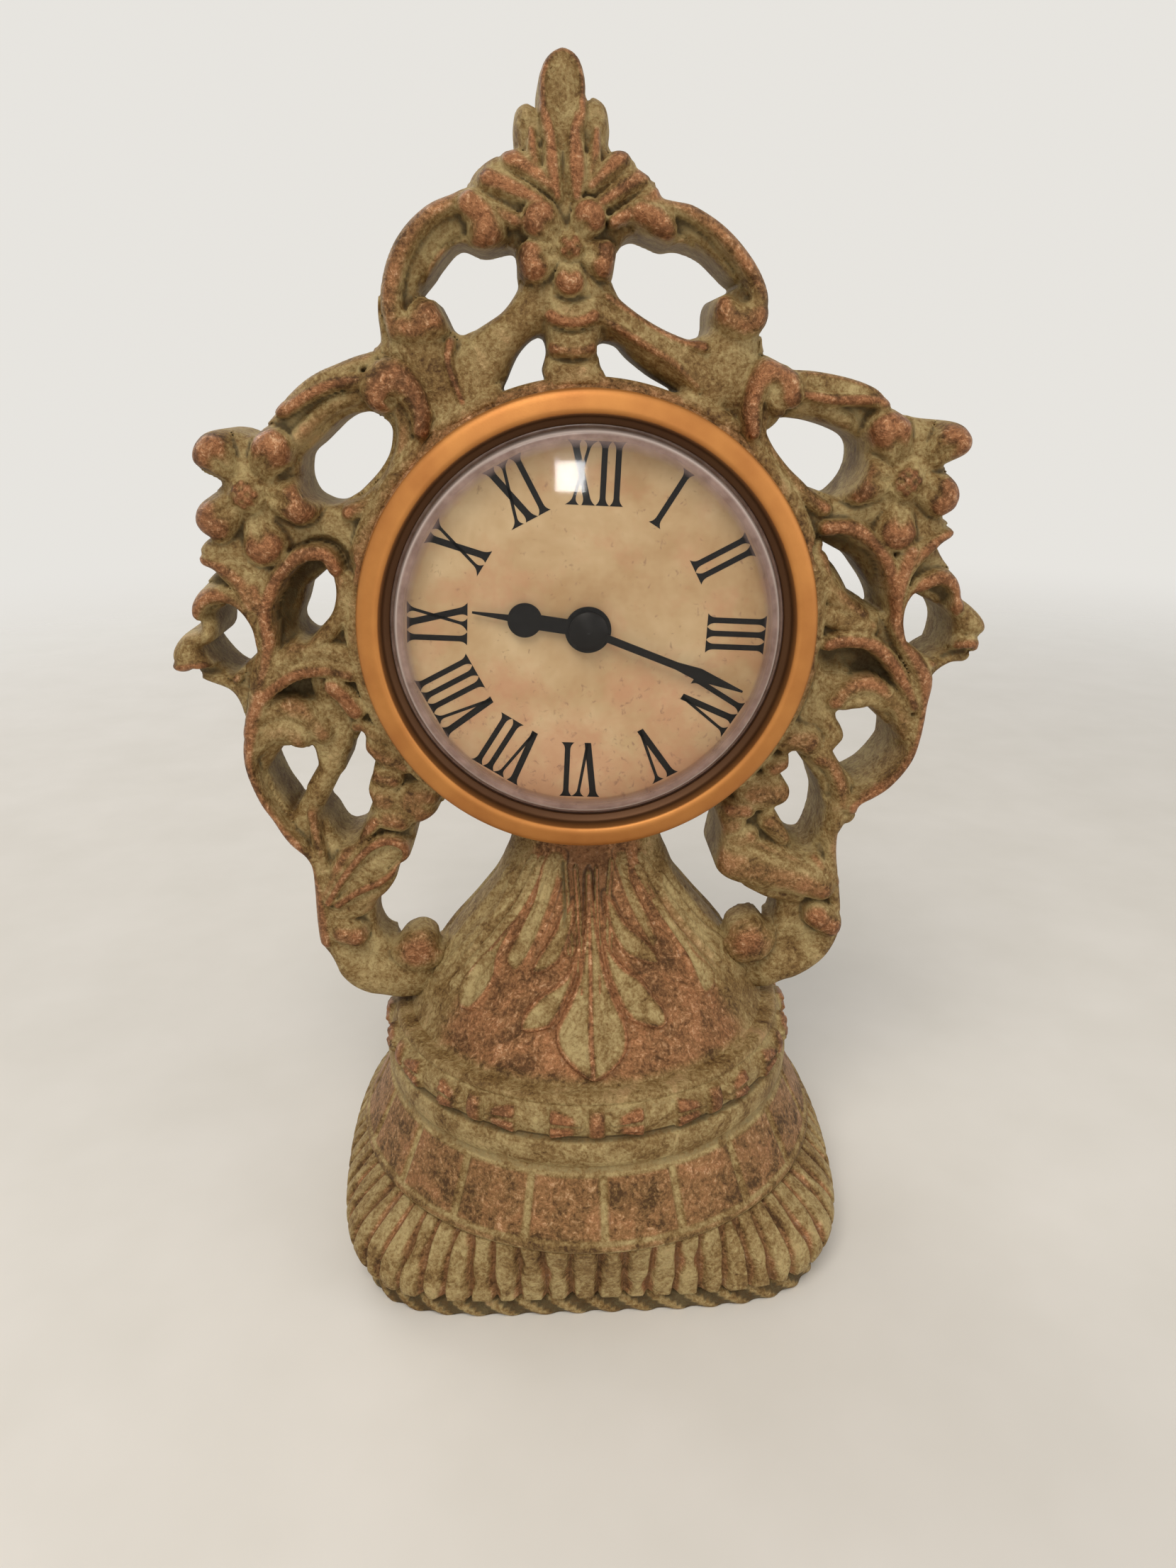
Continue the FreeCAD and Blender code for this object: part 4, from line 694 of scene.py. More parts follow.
@dataclass
class Bench:
    """Where pieces are made: it keeps each finish once and puts pieces in the scene."""

    finishes: dict[Finish, bpy.types.Material] = field(default_factory=dict)

    def finish(self, kind: Finish) -> bpy.types.Material:
        """The material of a finish, built the first time it is asked for."""
        if kind not in self.finishes:
            self.finishes[kind] = kind.value.build()
        return self.finishes[kind]

    def place(self, name: str, shell: Shell, kind: Finish, body: str, *nodes: str,
              smooth: bool = True) -> bpy.types.Object:
        """Makes a piece that rides on a body and stands for CAD nodes.

        Args:
            name: The piece's name.
            shell: Its surface.
            kind: Its finish.
            body: The body it rides on.
            nodes: The CAD nodes it stands for.
            smooth: Whether it is shaded as one curved surface.

        Returns:
            The piece.
        """
        piece = bpy.data.objects.new(name, shell.outward().mesh(name, smooth))
        bpy.context.scene.collection.objects.link(piece)
        piece.data.materials.append(self.finish(kind))
        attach(piece, body)
        if nodes:
            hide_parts(*nodes)
        log.info("%s: %d points", name, len(shell.points))
        return piece


# Carving


@dataclass(frozen=True)
class Ridge:
    """A raised line: its path, half width, crest height and how far its crest is rubbed."""

    path: Points
    width: Spread
    top: Spread
    rub: float = 0.3


@dataclass(frozen=True)
class Channel:
    """A sunk line: its path, half width and floor height."""

    path: Points
    width: Spread
    floor: Spread
    grime: float = 0.7


@dataclass(frozen=True)
class Flower:
    """A flower: its boss and its cupped petals, each with a crease towards the boss."""

    boss: tuple[float, float, float]
    petals: Sequence[tuple[float, float, float]]
    top: float
    rub: float = 0.8


@dataclass(frozen=True)
class Leaf:
    """A flat leaf with a raised edge, given by the closed path round it."""

    path: Points
    rise: float
    rub: float = 0.8


@dataclass
class Relief:
    """Heights over a grid, in mm, with how far each place is rubbed and how far it is soiled."""

    across: np.ndarray
    along: np.ndarray
    height: np.ndarray
    rub: np.ndarray
    grime: np.ndarray
    fullness: float = 1.0
    path_step: float = 1.6
    thinnest: float = 0.2

    @classmethod
    def flat(cls, across: np.ndarray, along: np.ndarray, ground: float, rub: float = 0.0) -> "Relief":
        """A relief that is one height all over."""
        return cls(across, along, np.full(across.shape, ground), np.full(across.shape, rub),
                   np.zeros(across.shape))

    def _nearness(self, path: Points, width: Spread, level: Spread) -> tuple[np.ndarray, ...]:
        """For each place: its distance to the path in half widths, that half width and the level there.

        The path is smoothed first. Each straight piece gives the distance to its nearest point, and
        the piece with the fewest half widths wins.
        """
        share = np.linspace(0, 1, len(path))
        spread = [np.interp(share, np.linspace(0, 1, np.size(v)), np.atleast_1d(v)) for v in (width, level)]
        rows = smooth_path(np.column_stack([np.array(path, float), *spread]), self.path_step)
        near, half, lift = (np.full(self.across.shape, value) for value in (FAR, 1.0, 0.0))
        for start, end in zip(rows[:-1], rows[1:]):
            step = end - start
            t = along_piece(self.across, self.along, start, step)
            r = np.maximum(start[2] + t * step[2], self.thinnest)
            u = np.hypot(self.across - start[0] - t * step[0], self.along - start[1] - t * step[1]) / r
            wins = u < near
            near, half = np.where(wins, u, near), np.where(wins, r, half)
            lift = np.where(wins, start[3] + t * step[3], lift)
        return near, half, lift

    def _lay(self, layer: np.ndarray, rub: np.ndarray, reach: float = 0.3) -> None:
        """Adds a layer where it is higher, with its own rub and a fillet of that reach."""
        wins = smooth_step(layer - self.height, -0.25, 0.35)
        self.rub = self.rub * (1 - wins) + rub * wins
        self.grime = self.grime * (1 - wins)
        self.height = smooth_max(self.height, layer, reach)

    def _soil(self, amount: np.ndarray) -> None:
        """Soils each place at least that much."""
        self.grime = np.maximum(self.grime, amount)

    def carve(self, mark: "Ridge | Channel | Flower | Leaf") -> None:
        """Adds one mark of the carving.

        At u half widths r from its path, a ridge is its crest less 0.95 r (1 - (1 - u^2)^0.5), or less
        3 mm times the bracket where that is smaller, and a channel is its floor plus 0.8 r u^2.
        """
        match mark:
            case Ridge():
                u, half, top = self._nearness(mark.path, np.multiply(mark.width, self.fullness), mark.top)
                layer = np.where(u < 1, top - np.minimum(0.95 * half, 3.0) * (1 - dome(u)), -FAR)
                self._soil(0.4 * line_at(u, 1.12, 0.15) * (self.height < top - 0.6))
                self._lay(layer, mark.rub * smooth_step(1 - u, 0.05, 0.8))
            case Channel():
                u, half, floor = self._nearness(mark.path, mark.width, mark.floor)
                layer = np.where(u < 1.5, floor + 0.8 * half * u ** 2, FAR)
                wins = smooth_step(self.height - layer, -0.2, 0.6)
                self.rub = self.rub * (1 - wins)
                self._soil(0.6 * mark.grime * wins * smooth_step(1.2 - u, 0, 0.9))
                self.height = smooth_min(self.height, layer, 0.6)
            case Flower():
                self._flower(mark)
            case Leaf():
                self._leaf(mark)

    def _flower(self, flower: Flower) -> None:
        """A low mound, round petals on it and a knobbly boss in the middle of them."""
        x, z, r = flower.boss
        reach = max(math.hypot(a - x, b - z) for a, b, _ in flower.petals)
        away = np.hypot(self.across - x, self.along - z)
        u = away / reach
        self._lay(np.where(u < 1.25, flower.top - 3.8 - 1.4 * u ** 2, -FAR), np.zeros_like(u), 0.8)
        for petal in flower.petals:
            self._petal(flower, petal)
        u = away / r
        knobs = np.cos(2.6 * (self.across - x) + 0.8) * np.cos(2.6 * (self.along - z) - 0.4)
        self._soil(0.55 * line_at(u, 1.1, 0.16))
        self._lay(np.where(u < 1.3, flower.top - 0.3 - 1.9 * u ** 2 + 0.4 * knobs, -FAR),
                  (0.25 + 0.55 * (knobs > 0)) * smooth_step(1.05 - u, 0, 0.3))

    def _petal(self, flower: Flower, petal: tuple[float, float, float]) -> None:
        """A rounded lump longer towards the boss, falling as 1 - (1 - u^2)^0.5, with a soft crease there."""
        x, z, r = petal
        dx, dz = x - flower.boss[0], z - flower.boss[1]
        reach = math.hypot(dx, dz)
        out = ((self.across - x) * dx + (self.along - z) * dz) / reach
        side = ((self.across - x) * dz - (self.along - z) * dx) / reach
        near = np.clip(-out / r, 0, 1.4)
        u = np.hypot(np.where(out > 0, out, out * 0.6), side * (1.0 + 0.25 * near)) / (1.07 * r)
        crease = 1.1 * line_at(side, 0, 0.8) * smooth_step(near, -0.3, 0.8)
        lump = flower.top - r * (1 - dome(u)) - near - crease
        self._soil(0.6 * line_at(u, 1.08, 0.13) * (out > -r))
        self._lay(np.where(u < 1, lump, -FAR), 1.2 * flower.rub * smooth_step(1.0 - u, 0.02, 0.35)
                  * smooth_step(out / r, -0.9, 0.2))

    def _leaf(self, leaf: Leaf) -> None:
        """A plate that rises over 1 mm inside its outline and is hollowed again behind its edge."""
        shape = smooth_path(np.array(leaf.path, float), 1.2, closed=True)
        depth = -outline_distance(self.across, self.along, shape)
        edge = smooth_step(depth, -0.1, 0.9)
        hollow = smooth_step(depth, 0.7, 2.4)
        self.grime = np.maximum(self.grime * (1 - edge), 0.5 * line_at(depth, -0.4, 0.4))
        self.rub = self.rub * (1 - edge) + leaf.rub * edge * (1 - smooth_step(depth, 0.5, 1.9))
        self.height = self.height + leaf.rise * edge - 0.5 * leaf.rise * hollow

    def weather(self, cells: float, strength: float = 0.5, lowest: float = -FAR) -> None:
        """Rubs what stands above its blurred surroundings and soils what lies below them.

        Args:
            cells: The blur's reach, in grid steps.
            strength: How far it rubs.
            lowest: Ground below this height counts as this high in the surroundings.
        """
        proud = self.height - blurred(np.maximum(self.height, lowest), cells)
        self.rub = np.clip(self.rub + strength * smooth_step(proud, 0.1, 1.1), 0, 1)
        self.grime = np.clip(self.grime + 0.6 * smooth_step(-proud, 0.25, 1.6), 0, 1)


# The base


@dataclass
class Plinth:
    """The fluted foot: a rounded square below that turns into a circle under the disc."""

    half_width: float = 59.0
    half_depth: float = 48.6
    foot_width: float = 51.6
    foot_depth: float = 48.0
    foot_height: float = 4.6
    flutes_foot: float = 4.9
    disc_radius: float = 53.2
    top: float = 20.6
    inside: float = 30.0
    squareness: float = 5.0
    flutes: int = 72
    flute_depth: float = 1.5
    flute_swell: float = 1.2
    shoulder: float = 0.75
    samples: int = 11
    survey: int = 4001
    strip: Points = ((0.2, 9.0), (0.0, 1.6), (0.0, 0.7), (0.25, 0.2), (0.8, 0.0), (1.6, -0.1), (2.5, 0.0),
                     (3.4, 0.3), (4.1, 0.9), (4.5, 1.9), (4.7, 2.6))

    def _square(self, angle: np.ndarray, width: Any, depth: Any) -> np.ndarray:
        """Radius of the rounded square |x/w|^n + |y/d|^n = 1 in each direction."""
        n = self.squareness
        return (np.abs(np.cos(angle) / width) ** n + np.abs(np.sin(angle) / depth) ** n) ** (-1 / n)

    def _directions(self) -> tuple[np.ndarray, np.ndarray]:
        """Directions whose steps are even along the waist's edge, and the flute count passed so far."""
        fine = np.linspace(0, 2 * math.pi, self.survey)
        radius = self._square(fine, self.half_width, self.half_depth)
        x, y = radius * np.cos(fine), radius * np.sin(fine)
        length = np.concatenate([[0], np.cumsum(np.hypot(np.diff(x), np.diff(y)))])
        phase = np.arange(self.flutes * self.samples) / self.samples
        return np.interp(phase / self.flutes, length / length[-1], fine), phase

    def _strip_row(self, angle: np.ndarray, phase: np.ndarray,
                   height: float, inset: float) -> list[np.ndarray]:
        """Radius, height, rub and dark round the foot's strip: slanted pale strokes on painted shade."""
        shown = 1.0 if 0.2 < height < self.foot_height else 0.0
        slant = np.cos(2 * math.pi * (phase * 0.75 + height * 0.2))
        radius = self._square(angle, self.foot_width - inset, self.foot_depth - inset) + 0.4 * slant * shown
        # The strip's ground is painted shade; its slanted strokes stay pale.
        return [radius, np.full_like(angle, height), 0.1 + 0.2 * np.clip(slant, 0, 1) * shown,
                0.9 - 0.95 * smooth_step(slant, 0.2, 0.9) * shown]

    def _flute_row(self, angle: np.ndarray, phase: np.ndarray, share: float) -> list[np.ndarray]:
        """Radius, height, rub and grime round the flutes at a share of their height.

        The radius is the square's mixed with the circle's by share^1.6. Across a flute, at u from 0
        in its middle to 1 in the gap, it falls by depth s^1.2, where s rises from 0 at 0.52 to 1 at
        1. The middle sways a little from row to row.
        """
        flute, u = np.floor(phase), np.abs(2 * (phase % 1) - 1)
        sway = 0.3 * np.sin(2.3 * flute + 4.0 * share) + 0.16 * np.sin(5.1 * flute - 11.0 * share)
        gap = smooth_step(np.clip(u + sway * np.sin(math.pi * (phase % 1)), 0, 1), 0.52, 1.0) ** 1.2
        swell = math.sin(math.pi / 2 * share / self.shoulder)
        width = self.foot_width + swell * (self.half_width - self.foot_width) + self.flute_swell
        depth = self.foot_depth + swell * (self.half_depth - self.foot_depth) + self.flute_swell
        circle = share ** 1.6
        lip = 1.2 * max(0.0, 1 - share / 0.03) ** 2 + 0.8 * max(0.0, (share - 0.97) / 0.03) ** 2
        radius = (1 - circle) * self._square(angle, width, depth) + circle * self.disc_radius
        scallop = 0.7 * max(0.0, 1 - share / 0.08) - 0.4 * max(0.0, (share - 0.95) / 0.05)
        level = self.flutes_foot + share * (self.top - self.flutes_foot) + scallop * gap
        edge = 0.0 if 0.02 <= share <= 0.98 else 0.5
        return [radius - self.flute_depth * gap - lip, level, 0.1 + 0.6 * smooth_step(gap, 0.1, 0.6),
                0.02 + 0.55 * smooth_step(gap, 0.5, 0.95) + edge]

    def shell(self) -> Shell:
        """The strip's rows, the flutes' rows above them and one row inside under the disc."""
        angle, phase = self._directions()
        rows = [self._strip_row(angle, phase, *row) for row in self.strip]
        shares = np.concatenate([[0.0, 0.012, 0.03], np.linspace(0.06, 0.94, 26), [0.97, 0.99, 1.0]])
        rows += [self._flute_row(angle, phase, share) for share in shares]
        rows.append([np.full_like(angle, self.inside), np.full_like(angle, self.top + 0.3), *rows[-1][2:]])
        radius, level, rub, grime = (np.array(parts) for parts in zip(*rows))
        return stacked(radius, level, angle, rub=rub, grime=grime)


@dataclass
class Collar:
    """The disc, the grooved cone, the plain ring and the band of bows and beads above the foot."""

    columns: int = 792
    grooves: int = 20
    beads: int = 11
    band_middle: float = 46.3
    row_step: float = 0.5
    underside: float = 20.4
    groove_start: float = 0.42
    groove_half: float = 0.8
    groove_depth: float = 0.7

    def _band(self, angle: np.ndarray, level: np.ndarray) -> tuple[np.ndarray, np.ndarray]:
        """How far the bows and beads stand proud, and how far they are rubbed.

        A bead is a rounded box 3 mm wide at each eleventh of the turn. A bow's two lobes on each
        side widen away from it between two straight lines and part along a crease.
        """
        turn = 2 * math.pi / self.beads
        far = np.abs(np.degrees((angle + turn / 2) % turn - turn / 2))
        v = np.abs(level - self.band_middle)
        bead = np.clip(1 - (far / 2.2) ** 3, 0, 1) ** 0.5 * np.clip(1 - (v / 3.7) ** 4, 0, 1)
        along = between(far, (2.6, 4.2), (11.2, 12.6))
        p = v / (1.2 + np.clip(far - 3.0, 0, None) / 9.0 * 2.6)
        lobe = along * np.clip(1 - p ** 4, 0, 1) ** 0.6 * (1 - 0.65 * line_at(p, 0, 0.16))
        fan = 0.18 * np.cos(p * 17.0) * along * (p < 1)
        rub = 0.95 * bead + 0.95 * smooth_step(lobe, 0.3, 0.8) * smooth_step(far, 4.0, 7.0)
        return 1.5 * bead + 1.6 * lobe + fan * lobe, rub

    def _profile(self) -> np.ndarray:
        """The outline from the disc's foot to the bell, in steps of half a millimetre at most."""
        corners = rounded_profile([
            (30, 20.3, 0), (52.4, 20.3, 0.5), (53.5, 20.9, 0.6), (53.5, 22.3, 0.6), (52.6, 22.8, 0.5),
            (46.9, 34.4, 0), (46.3, 35.1, 0.3), (45.9, 36.0, 0.4), (46.8, 37.4, 0.8), (47.1, 39.8, 1.2),
            (46.7, 41.9, 0.8), (45.3, 42.7, 0.4), (45.4, 43.3, 0.4), (46.0, 46.0, 2.0), (44.9, 49.0, 0.6),
            (44.2, 49.5, 0.3), (44.6, 50.3, 0.5), (43.9, 51.3, 0.5), (42.0, 51.5, 0)])
        rows = []
        for start, end in zip(corners[:-1], corners[1:]):
            steps = math.ceil(float(np.hypot(*(end - start))) / self.row_step)
            count = max(1, steps) if start[1] > self.underside else 1
            rows.append(start + (end - start) * (np.arange(count) / count)[:, None])
        return np.vstack(rows + [corners[-1:]])

    def shell(self) -> Shell:
        """The profile carried round, moved outwards by the grooves and the band."""
        profile = self._profile()
        around = 2 * math.pi * np.arange(self.columns) / self.columns
        radius, level = (np.repeat(profile[:, i:i + 1], self.columns, 1) for i in (0, 1))
        turn = 2 * math.pi / self.grooves
        side = ((around + turn * self.groove_start) % turn - turn / 2) * radius
        cone = between(level, (22.6, 23.4), (34.0, 34.8))
        groove = np.exp(-(side / self.groove_half) ** 4) * cone
        proud, rub = self._band(around, level)
        on_band = between(level, (42.6, 43.3), (48.9, 49.4))
        rub = (cone * (1 - groove) * 0.66 + on_band * rub
               + 0.5 * between(level, (20.8, 21.6), (22.2, 22.8))
               + 0.16 * between(level, (37.0, 38.0), (41.5, 42.0))
               + 0.3 * smooth_step(level, 49.6, 50.6))
        # The last term is painted shade along the disc's lower edge; the others are grime in the hollows.
        grime = (0.75 * between(level, (41.6, 42.6), (42.9, 43.6))
                 + 0.5 * between(level, (34.4, 35.2), (36.2, 37.2))
                 + on_band * 0.45 * smooth_step(0.55 - proud, 0, 0.4)
                 * smooth_step(np.abs(level - 46.0), 1.8, 3.0)
                 + 0.5 * line_at(np.abs(side), 1.15, 0.3) * cone
                 + 0.8 * (1 - smooth_step(level, self.underside, 20.9)))
        return stacked(radius - self.groove_depth * groove + proud * on_band, level, around - math.pi / 2,
                       rub=np.clip(rub, 0, 1), grime=np.clip(grime, 0, 1))


@dataclass
class Bell:
    """The acanthus bell between the collar and the ring, with its leaves in low relief."""

    heights: tuple = (49.6, 52.4, 59.3, 67.6, 74.0, 80.9, 88.7, 96.5)
    widths: tuple = (42.2, 39.6, 36.0, 30.5, 25.2, 20.0, 16.9, 15.7)
    depths: tuple = (42.2, 39.0, 33.4, 25.6, 19.4, 14.1, 11.0, 9.6)
    columns: int = 260
    rows: int = 128

    def _leaves(self) -> list[Leaf | Ridge | Channel]:
        """The front's leaves and ribs, by degrees from the front and height in mm."""
        leaf = [
            Leaf([(-43.4, 80), (-44.4, 73.4), (-43.8, 69.7), (-38, 68), (-33.9, 68), (-30.5, 72),
                  (-28.5, 78), (-26, 84), (-24, 90), (-44, 90)], 0.8),
            Leaf([(47.7, 72.3), (47, 69.1), (44.9, 63.2), (46.3, 61.4), (53.3, 62), (57.8, 65.3),
                  (54.5, 69.3), (54, 74), (52, 82), (46, 84)], 1.0),
            Leaf([(76.1, 58), (64.5, 63.1), (59.6, 67.8), (56.8, 73.2), (56, 80), (66, 84), (72, 72),
                  (84, 62)], 1.0),
            Leaf([(-47.9, 59.4), (-52.9, 59.5), (-58, 63.1), (-57, 67), (-54, 71), (-50, 76), (-46, 76),
                  (-45.5, 70), (-42.5, 66.8), (-43, 63), (-46.1, 59.8)], 1.2, 0.9),
            Leaf([(-76, 60), (-66, 63), (-61, 68), (-60, 76), (-62, 84), (-72, 84), (-80, 70)], 1.0),
            Leaf([(38.6, 84.9), (41.1, 78.3), (40, 73), (38, 70.5), (34, 76), (31, 82), (28, 90), (44, 90)],
                 0.8),
            Leaf([(24.9, 69.6), (32.6, 68.6), (35.1, 70.5), (31.7, 73.8), (24, 77), (19.2, 81), (12, 82),
                  (12, 76), (17, 71.5)], 1.1, 0.9),
            Leaf([(-25.8, 68), (-29.2, 68.3), (-28.5, 71), (-26.3, 72.9), (-20.3, 77.9), (-13, 81),
                  (-10, 78), (-14, 71.5), (-20, 69)], 1.1, 0.9),
            Leaf([(12.4, 61.7), (17.3, 60), (23.2, 58.9), (27.4, 59.8), (28.2, 62.3), (25.7, 64.9),
                  (22.4, 67.8), (15.5, 70.2), (9, 74), (6, 74), (7.5, 68)], 1.2, 0.95),
            Leaf([(-13.6, 61.2), (-18, 59.6), (-23.9, 58.9), (-26.6, 59.8), (-26.3, 62.6), (-21.6, 65.7),
                  (-12, 68.9), (-8, 74), (-5, 75), (-7.5, 68)], 1.2, 0.95),
            Leaf([(-0.5, 52.2), (6.5, 54.1), (10.9, 56.6), (12.2, 59.3), (12.0, 61.7), (9, 66), (7, 70),
                  (5, 78), (3, 86), (-3, 86), (-4, 78), (-6, 70), (-9, 66), (-13.6, 61.2), (-13.9, 59.8),
                  (-12.4, 57.4), (-8.3, 54.8)], 1.5, 1.0),
        ]
        lift = 1.9
        rib = [
            Ridge([(-0.5, 53.4), (-1, 60), (-0.6, 68), (-0.4, 76), (0, 86)], (1.0, 0.8), lift, 1.0),
            Ridge([(3.2, 66), (4.4, 72), (6, 80), (8, 87)], 0.6, lift - 0.5, 0.95),
            Ridge([(-4.5, 66), (-6, 72), (-9, 80), (-13, 87)], 0.7, lift - 0.4, 1.0),
            Ridge([(10, 72), (13, 76), (17, 82), (24, 88)], 0.8, lift - 0.7, 0.8),
            Ridge([(-11, 72), (-15, 77), (-20, 83), (-25, 88)], 0.8, lift - 0.7, 0.8),
            Ridge([(58, 60.5), (56, 66), (52, 74), (47, 86)], 0.9, lift - 0.7, 0.4),
            Ridge([(-62, 62), (-58, 68), (-52, 78), (-46, 88)], 1.1, lift - 0.6, 0.25),
            Ridge([(-72, 63), (-68, 70), (-60, 80), (-54, 88)], 1.1, lift - 0.6, 0.25),
            Ridge([(70, 62), (66, 69), (60, 78), (53, 88)], 1.0, lift - 0.6, 0.25),
            Ridge([(80, 66), (76, 74), (72, 84)], 1.2, lift - 0.6, 0.2),
            Ridge([(-80, 66), (-76, 74), (-72, 84)], 1.2, lift - 0.6, 0.2),
            Channel([(-17, 76), (-22, 82), (-27, 88)], 0.8, 0.1, 0.8),
            Channel([(36, 72), (33, 79), (30, 88)], 0.7, 0.2, 0.8),
            Channel([(-35, 71), (-36, 78), (-34, 88)], 0.5, 0.5, 0.6),
            Channel([(-41, 74), (-41, 80), (-38, 88)], 0.5, 0.5, 0.6),
            Channel([(-50, 62), (-52.5, 65), (-50.5, 69)], 1.1, 0.1, 0.2),
            Channel([(51, 66), (51, 72), (49, 79)], 0.6, 0.5, 0.5),
        ]
        return leaf + rib

    def shell(self) -> Shell:
        """An oval whose half sizes follow the height, averaged over nine rows, moved outwards by the relief.

        The leaves are laid on the unrolled surface, degrees times radius across and length along the
        profile. The back half repeats the front.
        """
        level = np.linspace(self.heights[0], self.heights[-1], self.rows)
        width, depth = (np.convolve(np.pad(np.interp(level, self.heights, sizes), 4, mode="edge"),
                                    np.ones(9) / 9, "valid") for sizes in (self.widths, self.depths))
        length = np.concatenate([[0], np.cumsum(np.hypot(np.diff(level), np.diff(width)))])
        front = (np.arange(self.columns) + 0.5) / self.columns * math.pi - math.pi / 2
        relief = Relief.flat(front[:, None] * width[None, :], np.tile(length, (self.columns, 1)), 0.4, 0.8)
        for mark in self._leaves():
            relief.carve(self._unrolled(mark, level, width, length))
        relief.weather(2.5, 0.3)
        fade = (1 - smooth_step(level, 86.0, 91.0))[None, :]
        high = smooth_step(level, 74.0, 84.0)[None, :] * smooth_step(0.6 - np.abs(front), 0, 0.3)[:, None]
        low = (1 - smooth_step(level, 50.5, 53.5))[None, :]
        side = smooth_step(np.abs(front), 0.85, 1.1)[:, None]
        # Darker over the upper front of the bell, below the ring.
        relief.grime = np.clip(relief.grime + 0.55 * high, 0, 1)
        relief.rub = relief.rub * (1 - 0.8 * low) * (1 - 0.7 * side)
        around = np.concatenate([front, front + math.pi])
        height = np.tile(relief.height, (2, 1)) * fade
        oval = 1 / np.hypot(np.sin(around)[:, None] / width, np.cos(around)[:, None] / depth)
        return stacked((oval + height).T, np.repeat(level[:, None], len(around), 1), around - math.pi / 2,
                       rub=np.tile(relief.rub, (2, 1)).T, grime=np.tile(relief.grime, (2, 1)).T)

    @staticmethod
    def _unrolled(mark: Leaf | Ridge | Channel, level: np.ndarray, width: np.ndarray,
                  length: np.ndarray) -> Leaf | Ridge | Channel:
        """The same mark with its degrees and heights turned into mm on the unrolled surface."""
        return replace(mark, path=[(math.radians(a) * float(np.interp(z, level, width)),
                                    float(np.interp(z, level, length))) for a, z in mark.path])


# The openwork


